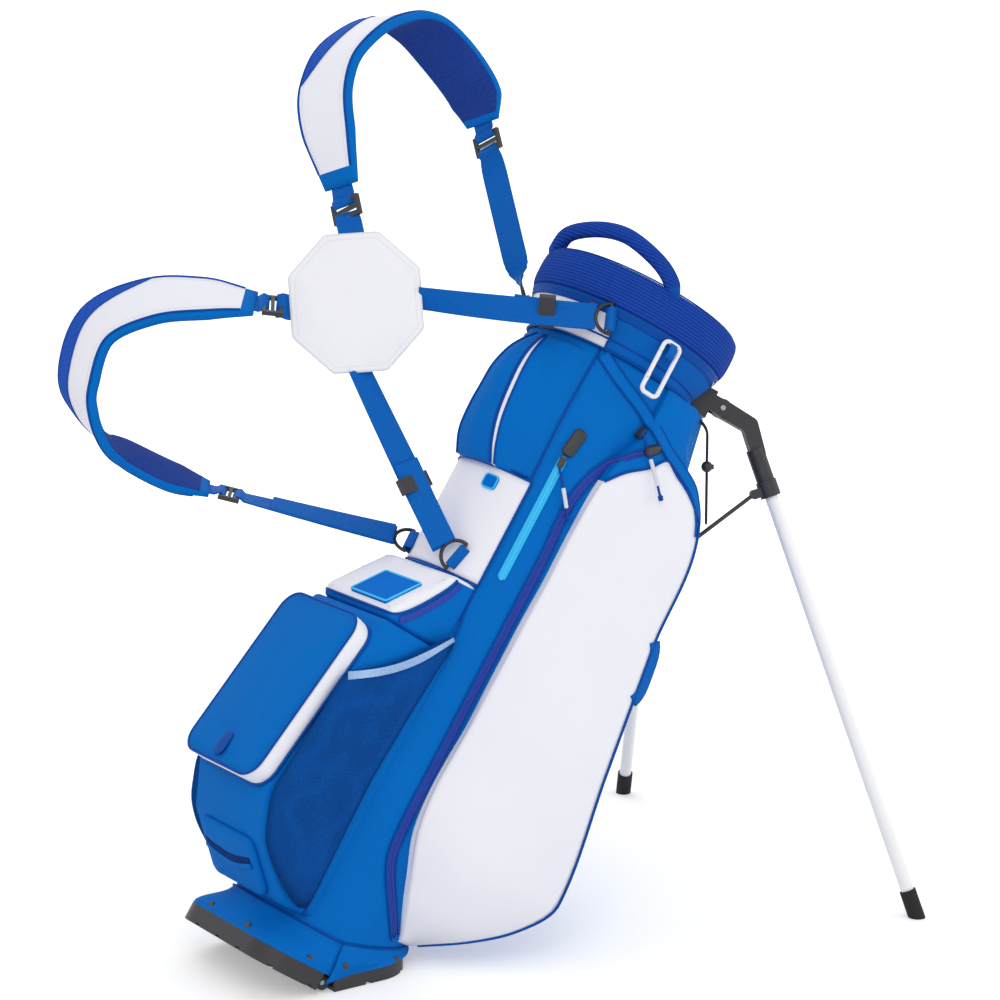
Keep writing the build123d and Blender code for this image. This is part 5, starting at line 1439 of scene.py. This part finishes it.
# Carrying handle: a padded grip that flattens to a sewn tab at each end.
handle = {"radius": 9.2, "points": [(206, 112, 846), (204, 116, 862), (194, 117, 878), (176, 110, 890.5),
                                    (158, 106, 895.5), (142, 108, 890.5), (125, 114, 878), (115, 117, 862),
                                    (113, 112, 846)]}
handlePath = smoothPath([onBag(*p) for p in handle["points"]], 8)
handleAcross = [bagUp.cross(wayAt(handlePath, i)).normalized() for i in range(len(handlePath))]


def toTab(share, reach):
    # 1 at the handle's ends and 0 along its grip.
    return max(0, 1 - reach * min(share, 1 - share))


gripProfile = roundProfile(2 * handle["radius"], 2 * handle["radius"], 20, 2.0)
grip = ribbon("carry_handle", handlePath, handleAcross, gripProfile, ["rimKnit", "piping"],
              lambda share, k: 1 if share < 0.13 or share > 0.87 else 0,
              lambda share: (1.0 + 0.25 * toTab(share, 8), 1.0 - 0.55 * toTab(share, 7)))
finish(grip, "pad_fabric", "top_handle")

# Octagonal pad in the middle of the back.
octagon = {"width": 146.0, "height": 154.0, "cut": 43.0, "depth": 11.0, "crown": 4.0, "pressure": 4.0,
           "cap": 3.0}
octPlane = (bagPoint(-256, 90, 686), bagWay(.6518, -.5527, .5193), bagWay(-.4899, .2159, .8446),
            bagWay(-.579, -.8049, -.13))
w, h, c = octagon["width"] / 2, octagon["height"] / 2, octagon["cut"]
octOutline = softOutline([(w, h - c), (w - c, h), (c - w, h), (-w, h - c), (-w, c - h), (c - w, -h),
                          (w - c, -h), (w, c - h)], 4)
half = octagon["depth"] / 2
octPad = cushion("back_pad", octPlane, octOutline,
                 [(2.5, -half), (0.6, -half + 1.4), (0, -half + 3), (0, half - 3), (0.8, half - 1.2),
                  (3.0, half - 0.4), (6.5, half - 0.9), (8.0, half - 0.3)], octagon["crown"],
                 ["whiteGrain"], rings=14)
octEdge = len(octOutline) * 7
puffed(octPad, octagon["pressure"], octagon["cap"], lambda index: index < octEdge)
finish(octPad, "fabric_white", "octagon_pad")
piped("back_pad_edge", [outlinePath(octPlane, octOutline, 0.2, half - 2.4)], 0.7, "fabric_white", "sleeve",
      True)
sewn("back_pad_stitching", [outlinePath(octPlane, octOutline, 6.6, half - 0.4)], "fabric_white",
     "threadWhite", True)

# Shoulder pads.
pads = {
    "upper": {"node": "upper_shoulder_pad",
              "points": [(-316, 136, 795), (-364, 161, 858), (-375, 176, 899), (-369, 186, 940),
                         (-336, 197, 992), (-290, 203, 1014), (-238, 207, 1011), (-188, 195, 991),
                         (-161, 184, 964)],
              "across": [(.15, -.95, .27), (.35, -.88, .33), (.30, -.94, .17), (.15, -.98, .05),
                         (-.05, -.99, .05), (0, -.87, .48), (.12, -.75, .64), (.10, -.80, .58),
                         (-.05, -.88, .46)],
              "patch": (0.20, 0.56)},
    "lower": {"node": "lower_shoulder_pad",
              "points": [(-334, 149, 633), (-379, 186, 609), (-415, 219, 580), (-441, 248, 531),
                         (-427, 252, 471), (-400, 246, 442), (-367, 234, 424), (-340, 227, 424),
                         (-295, 207, 426), (-252, 185, 434)],
              "across": [(-.05, .92, .38), (-.05, .83, .55), (-.15, .80, .58), (-.28, .88, .38),
                         (-.20, .97, .05), (.08, .98, .10), (.25, .92, .28), (.30, .84, .44),
                         (.29, .84, .46), (.31, .88, .35)],
              "patch": (0.20, 0.60)},
}
padSize = {"width": 69.0, "depth": 13.0, "pressure": 4.0, "cap": 3.0, "steps": 9, "patchReach": 22.0,
           "pipeInset": 3.4, "faceFrom": 0.30, "seamFrom": 0.47, "bandFrom": 0.83, "blueEnds": (0.02, 0.965)}
padPaths = {}
for name, pad in pads.items():
    path = smoothPath([bagPoint(*p) for p in pad["points"]], padSize["steps"])
    across = smoothPath([bagWay(*a) for a in pad["across"]], padSize["steps"])
    middle = sum(path, Vector()) / len(path)
    way = (path[31] - path[29]).normalized()
    outward = 1 if way.cross(across[30]).dot(path[30] - middle) > 0 else -1
    profile = roundProfile(padSize["width"], padSize["depth"], 36, 4.2)
    outerSide = [b * outward > padSize["depth"] * padSize["faceFrom"] for _, b in profile]
    innerSide = [b * outward < -padSize["depth"] * padSize["faceFrom"] for _, b in profile]
    nearSide = -1 if across[30].y > 0 else 1
    bandSide = [a * nearSide / padSize["width"] * 2 for a, _ in profile]

    def padLook(share, k):
        j = (k + 1) % len(profile)
        if share < padSize["blueEnds"][0] or share > padSize["blueEnds"][1]:
            return 1
        if innerSide[k] and innerSide[j]:
            return 2
        band = max(bandSide[k], bandSide[j]) >= padSize["bandFrom"]
        return 0 if outerSide[k] and outerSide[j] and not band else 1

    def padShape(share):
        ends = min(share, 1 - share)
        taper = min(1.0, 0.72 + ends * 3.2)
        return (taper, 0.55 + 0.45 * min(1.0, ends * 14))

    piece = ribbon("shoulder_pad_" + name, path, across, profile,
                   ["whiteFabric", "royalFabric", "navyMesh"], padLook, padShape)
    edgeSet = {k for k, (a, _) in enumerate(profile) if abs(a) > padSize["width"] * padSize["seamFrom"]}
    ends = {*range(3), *range(len(path) - 3, len(path))}
    puffed(piece, padSize["pressure"], padSize["cap"],
           lambda index: index % len(profile) in edgeSet or index // len(profile) in ends)
    finish(piece, "pad_fabric", pad["node"])
    padPaths[name] = (path, across)
    edges = []
    for sign in (-1, 1):
        inset = padSize["pipeInset"] + (3.0 if sign == nearSide else 0.0)
        line = []
        for i in range(max(2, round(0.022 * len(path))), round(0.96 * len(path))):
            step = wayAt(path, i)
            side = squarer(step, across[i])
            wide = padShape(i / (len(path) - 1))[0]
            line.append(path[i] + (side * sign * (padSize["width"] / 2 - inset) * wide
                                   + step.cross(side) * outward * (padSize["depth"] / 2 - 0.2)) / 1000)
        edges.append(line)
    padTree = skinOf([piece])
    piped("pad_piping_" + name, [settled(snug(padTree, edge, 0.5), 2) for edge in edges], 1.3, "webbing_blue")
    inner = [snug(padTree, [a.lerp(b, 0.1) for a, b in zip(edges[n], edges[1 - n])], 0.3) for n in (0, 1)]
    sewn("pad_stitching_" + name, inner, "pad_fabric", "threadWhite")
    low, high = pad["patch"]
    rows = []
    for i in range(41):
        place = (low + (high - low) * i / 40) * (len(path) - 1)
        n = min(int(place), len(path) - 2)
        spot, side = path[n].lerp(path[n + 1], place - n), across[n].lerp(across[n + 1], place - n)
        step = (path[min(n + 2, len(path) - 1)] - path[max(n - 1, 0)]).normalized()
        side = squarer(step, side) * nearSide
        out = step.cross(side * nearSide) * outward
        reach = padSize["patchReach"] * math.sin(math.pi * i / 40) ** 0.8
        row = []
        for k in range(13):
            start = spot + (side * (-padSize["width"] / 2 + 2.6 + reach * k / 12) + out * 30) / 1000
            row.append((padTree.ray_cast(start, -out)[0] or spot) + out * 0.0007)
        rows.append(row)
    finish(sheetPiece("pad_inset_" + name, rows, ["padIndigo"], 1.0, inside=middle), "pad_fabric")
    piped("pad_inset_edge_" + name, [[row[-1] for row in rows]], 0.7, "pad_fabric")

# Webbing from the back pad through the buckles, and from the shoulder pads down to the rings.
web = {"width": 29.0, "thick": 2.3, "gap": 0.004, "ringGap": 0.0165, "overBar": 0.0042}
rings = {"a": (-58.03, 87.02, 798), "b": (-62.47, -82.5, 798), "c": (-65.59, 57.23, 488),
         "d": (-71.88, -45.64, 488)}
bars = {"a": (.72, .69, 0), "b": (.24, -.26, -.93), "c": (-.33, -.52, -.79), "d": (.11, -.23, .97)}
ringOut = {"a": (-.45, .47, .76), "b": (-.84, .42, -.34), "c": (-.76, .64, -.11), "d": (-.73, .65, .23)}
octEdges = {"right": (-208.22, 49.49, 724.07), "left": (-303.78, 130.51, 647.93),
            "top": (-293.87, 106.69, 751.29), "bottom": (-218.13, 73.31, 620.71)}


def strapAcross(path, first, last):
    return [squarer(wayAt(path, i), first.lerp(last, i / (len(path) - 1))) for i in range(len(path))]


def over(path, across, fromEnd):
    # Lifts a strap over a buckle's outer bar, 7 mm from the end that sits in its slot.
    out = []
    for i, p in enumerate(path):
        far = (path[-1] - p).length if fromEnd else (p - path[0]).length
        lift = wayAt(path, i).cross(across[i]).normalized()
        lift = lift if lift.dot(Vector((-0.57, -0.8, 0.2))) > 0 else -lift
        out.append(p + lift * web["overBar"] * math.exp(-((far * 1000 - 6.8) / 3.4) ** 2))
    return out


def strap(name, start, end, first, last, bow=0.0, overStart=False, overEnd=False, mid=None):
    sag = hangDown * bow / 1000
    bowed = [start, start.lerp(end, 0.25) + sag * 0.75, (start + end) / 2 + sag,
             start.lerp(end, 0.75) + sag * 0.75, end]
    path = evenPath(smoothPath(bowed, 8), 0.0025)
    across = strapAcross(path, first, last)
    if mid:
        keys = smoothPath([first, mid, mid, mid, last], 12)
        across = [keys[round(i / (len(path) - 1) * (len(keys) - 1))] for i in range(len(path))]
    if overStart:
        path = over(path, across, False)
    if overEnd:
        path = over(path, across, True)
    return ribbon(name, path, across, roundProfile(web["width"], web["thick"], 16, 7.0), ["webbing"])


def ringEnd(key):
    return bagPoint(*rings[key]) + bagWay(*ringOut[key]) * web["ringGap"]


def bar(key):
    return bagWay(*bars[key])


def aligned(way, other):
    return way if way.dot(other) > 0 else -way


runs = []
octPoints = {key: bagPoint(*spot) for key, spot in octEdges.items()}
upPath, upAcross = padPaths["upper"]
lowPath, lowAcross = padPaths["lower"]
straps = [("right_to_b", octPoints["right"], ringEnd("b"), bagWay(.7, .33, -.63), bar("b")),
          ("bottom_to_d", octPoints["bottom"], ringEnd("d"), bagWay(.85, 0, .53), bar("d"))]


def foldedBack(name, start, end, way, ways, lift, bow):
    # A strap's end doubled back from its ring; ways run across its start, its lift there and its end.
    begin, lifted, last = ways
    return strap(name + "_fold", start + way.cross(lifted).normalized() * lift,
                 end - way * 0.002 + way.cross(last).normalized() * lift, begin, last, bow)


for name, start, end, first, last in straps:
    way = (end - start).normalized()
    last = aligned(last, first)
    runs.append(strap(name, start - way * web["gap"], end, first, last, 1.5))
    runs.append(foldedBack(name, start.lerp(end, 0.52), end, way, (first.lerp(last, 0.5), first, last),
                           0.0028, 1.5))
for name, start, end, first, last in (
        ("pad_end_a", upPath[-1], ringEnd("a"), upAcross[-1], bar("a")),
        ("pad_end_c", lowPath[-1], ringEnd("c"), lowAcross[-1], bar("c"))):
    way = (end - start).normalized()
    last = aligned(last, first)
    begin = start + way * 0.024
    face = bagWay(.55, -.5, .64) if name == "pad_end_a" else None
    runs.append(strap(name, begin + way * web["gap"], end, first, last, 0.5, overStart=True, mid=face))
    if not face:
        runs.append(foldedBack(name, begin.lerp(end, 0.25), end, way, (first.lerp(last, 0.4), last, last),
                               0.0027, 0.5))
    runs.append(strap(name + "_tab", start - way * 0.006, begin - way * web["gap"], first, first,
                      overEnd=True))
for name, start, end, first, last in (
        ("top_to_pad", octPoints["top"], upPath[0], octPlane[1], upAcross[0]),
        ("left_to_pad", octPoints["left"], lowPath[0], octPlane[2], lowAcross[0])):
    way = (end - start).normalized()
    last = aligned(last, first)
    middle = (start + end) / 2
    runs.append(strap(name + "_first", start - way * web["gap"], middle - way * web["gap"], first,
                      first.lerp(last, 0.4), overEnd=True))
    runs.append(strap(name + "_second", middle + way * web["gap"], end + way * web["gap"],
                      first.lerp(last, 0.6), last, overStart=True))
finish(joined("harness_straps", runs), "webbing_blue", "harness_webbing")

# Tabs that hold the rings, the clip and the folded legs.
tabs = []
ringSeat = {"a": 226, "b": 137, "c": 212, "d": 155}
for key in "abcd":
    spot, seat = bagPoint(*rings[key]), ringSeat[key]
    height = toBag(spot).z
    reach = 118.5 if height > 700 else 103.5
    out = (spot - onBag(seat, 0, height)).normalized()
    across = bar(key)
    root = onBag(seat, reach - 1.5, height)
    lift = out.cross(across).normalized()
    turns = [math.pi * k / 16 for k in range(17)]
    loop = [spot + out * math.sin(t) * 0.0032 + lift * math.cos(t) * 0.0033 for t in turns]
    path = evenPath(smoothPath([root + lift * 0.0055] + loop + [root - lift * 0.0055], 3), 0.0022)
    tabs.append(ribbon("tab_" + key, path, strapAcross(path, across, across), roundProfile(27, 1.9, 14, 6.0),
                       ["webbing"]))
keepers = {"low": 440.0, "high": 510.0, "reach": 14.0}
for near in (True, False):
    path = []
    for k in range(15):
        height = keepers["low"] + (keepers["high"] - keepers["low"]) * k / 14
        spot = pocketSpot("gusset", 1.0, height)
        swell = keepers["reach"] * (1 - abs(2 * k / 14 - 1) ** 4) * 0.5
        path.append(bagPoint(spot.x + swell, spot.y * (1 if near else -1), height))
    tabs.append(ribbon("keeper_%d" % near, path, [bagWay(1, 0, 0)] * 15,
                       roundProfile(keepers["reach"], 3.6, 16, 5.0), ["webbing"]))
clipTab = {"angle": 100, "points": [(121.0, 807), (123.0, 803), (124.5, 798), (124.0, 793), (120.0, 790.5),
                                    (112.0, 792)]}
path = evenPath(smoothPath([onBag(clipTab["angle"], *p) for p in clipTab["points"]], 6), 0.002)
tabs.append(ribbon("clip_tab", path, [bagUp.cross(outWay(clipTab["angle"])).normalized()] * len(path),
                   roundProfile(9.4, 1.8, 12, 6.0), ["webbing"]))
finish(joined("webbing_loops", tabs), "webbing_blue", "webbing_tabs")
skirtRivets = []
for x, y, z in ((8.6, 105.4, 37.8), (73.5, 97.0, 68.0)):
    for sign in (-1, 1):
        bpy.ops.mesh.primitive_uv_sphere_add(segments=16, ring_count=10, radius=0.0038,
                                             location=bagPoint(x, sign * y, z))
        stud = bpy.context.object
        stud.scale = (1, 0.5, 1)
        activate(stud)
        bpy.ops.object.transform_apply(location=True, rotation=True, scale=True)
        stud.data.materials.append(materials["bronze"])
        skirtRivets.append(stud)
finish(joined("skirt_rivets", skirtRivets), "steel", body="foot_plate")
print("harness made")

# Kept hard parts get their finishes.
kept = {
    "blackPlastic": ["base_cup", "foot_plate", "leg_brackets", "crank_arm_near", "crank_arm_far",
                     "leg_collar_near", "leg_collar_far", "yoke", "rod_guides", "strap_buckles",
                     "upper_tri_glide", "lower_tri_glide", "cord_lock", "cord_lock_button",
                     "side_zip_slider", "pocket_zip_slider"],
    "whitePaint": ["leg_tube_near", "leg_tube_far"],
    "whitePlastic": ["carabiner", "carabiner_gate"],
    "darkSteel": ["leg_strut_near", "leg_strut_far", "strap_rings", "stay_rods"],
    "steel": ["push_rods", "stand_pins"],
    "bronze": ["rivets"],
    "rubber": ["leg_boot_near", "leg_boot_far", "floor_pad"],
}
for look, names in kept.items():
    for name in names:
        node = cadNodes[name]
        for slot in node.material_slots:
            slot.material = materials[look]
        if not node.material_slots:
            node.data.materials.append(materials[look])
print("finishes given to the hard parts")

# Floor, lights and backdrop.
stage = {"floor": 60.0, "worldLight": 0.72, "keyPower": 34.0, "fillPower": 16.0, "backPower": 18.0,
         "glow": 0.3, "farGlow": 0.75}
bpy.ops.object.select_all(action="DESELECT")
bpy.ops.mesh.primitive_plane_add(size=stage["floor"], location=(0, 0, -0.0004))
floor = bpy.context.object
floor.name = "floor"


def onlySeen(tree):
    # 1 where a ray comes from the eye, a mirror or glass, and 0 where it only carries light.
    rays = addNode(tree, "ShaderNodeLightPath")
    seen = mathNode(tree, "MAXIMUM", rays.outputs["Is Camera Ray"], rays.outputs["Is Glossy Ray"])
    return mathNode(tree, "MAXIMUM", seen, rays.outputs["Is Transmission Ray"])


floorLook = bpy.data.materials.new("paleFloor")
floorLook.use_nodes = True
tree = floorLook.node_tree
place = addNode(tree, "ShaderNodeTexCoord")
reach = fill(tree, addNode(tree, "ShaderNodeVectorMath", operation="LENGTH"), {0: place.outputs["Object"]})
away = addNode(tree, "ShaderNodeMapRange", interpolation_type="SMOOTHSTEP")
fill(tree, away, {"Value": reach.outputs["Value"], "From Min": 0.6, "From Max": 2.2, "To Min": stage["glow"],
                  "To Max": stage["farGlow"]})
fill(tree, tree.nodes["Principled BSDF"], {
    "Base Color": plain(244, 244, 244), "Roughness": 0.9, "Specular IOR Level": 0.1,
    "Emission Color": (1, 1, 1, 1),
    "Emission Strength": product(tree, onlySeen(tree), away.outputs["Result"])})
floor.data.materials.append(floorLook)
world = bpy.data.worlds.new("studio")
scene.world = world
world.use_nodes = True
tree = world.node_tree
extra = product(tree, onlySeen(tree), 1.0 - stage["worldLight"])
glow = added(tree, extra, stage["worldLight"])
fill(tree, tree.nodes["Background"], {"Color": (1, 1, 1, 1), "Strength": glow})
for name, place, size, power in (("key", (-1.6, -2.6, 2.8), 2.2, stage["keyPower"]),
                                 ("fill", (2.8, -2.2, 1.6), 2.4, stage["fillPower"]),
                                 ("back", (0.6, 2.4, 2.6), 2.2, stage["backPower"])):
    bpy.ops.object.light_add(type="AREA", location=place)
    lamp = bpy.context.object
    lamp.name = name
    lamp.data.size = size
    lamp.data.energy = power
    lamp.rotation_euler = (Vector(place) - Vector(shot["target"])).to_track_quat("Z", "Y").to_euler()
scene.view_settings.view_transform = "Standard"
print("stage lit")
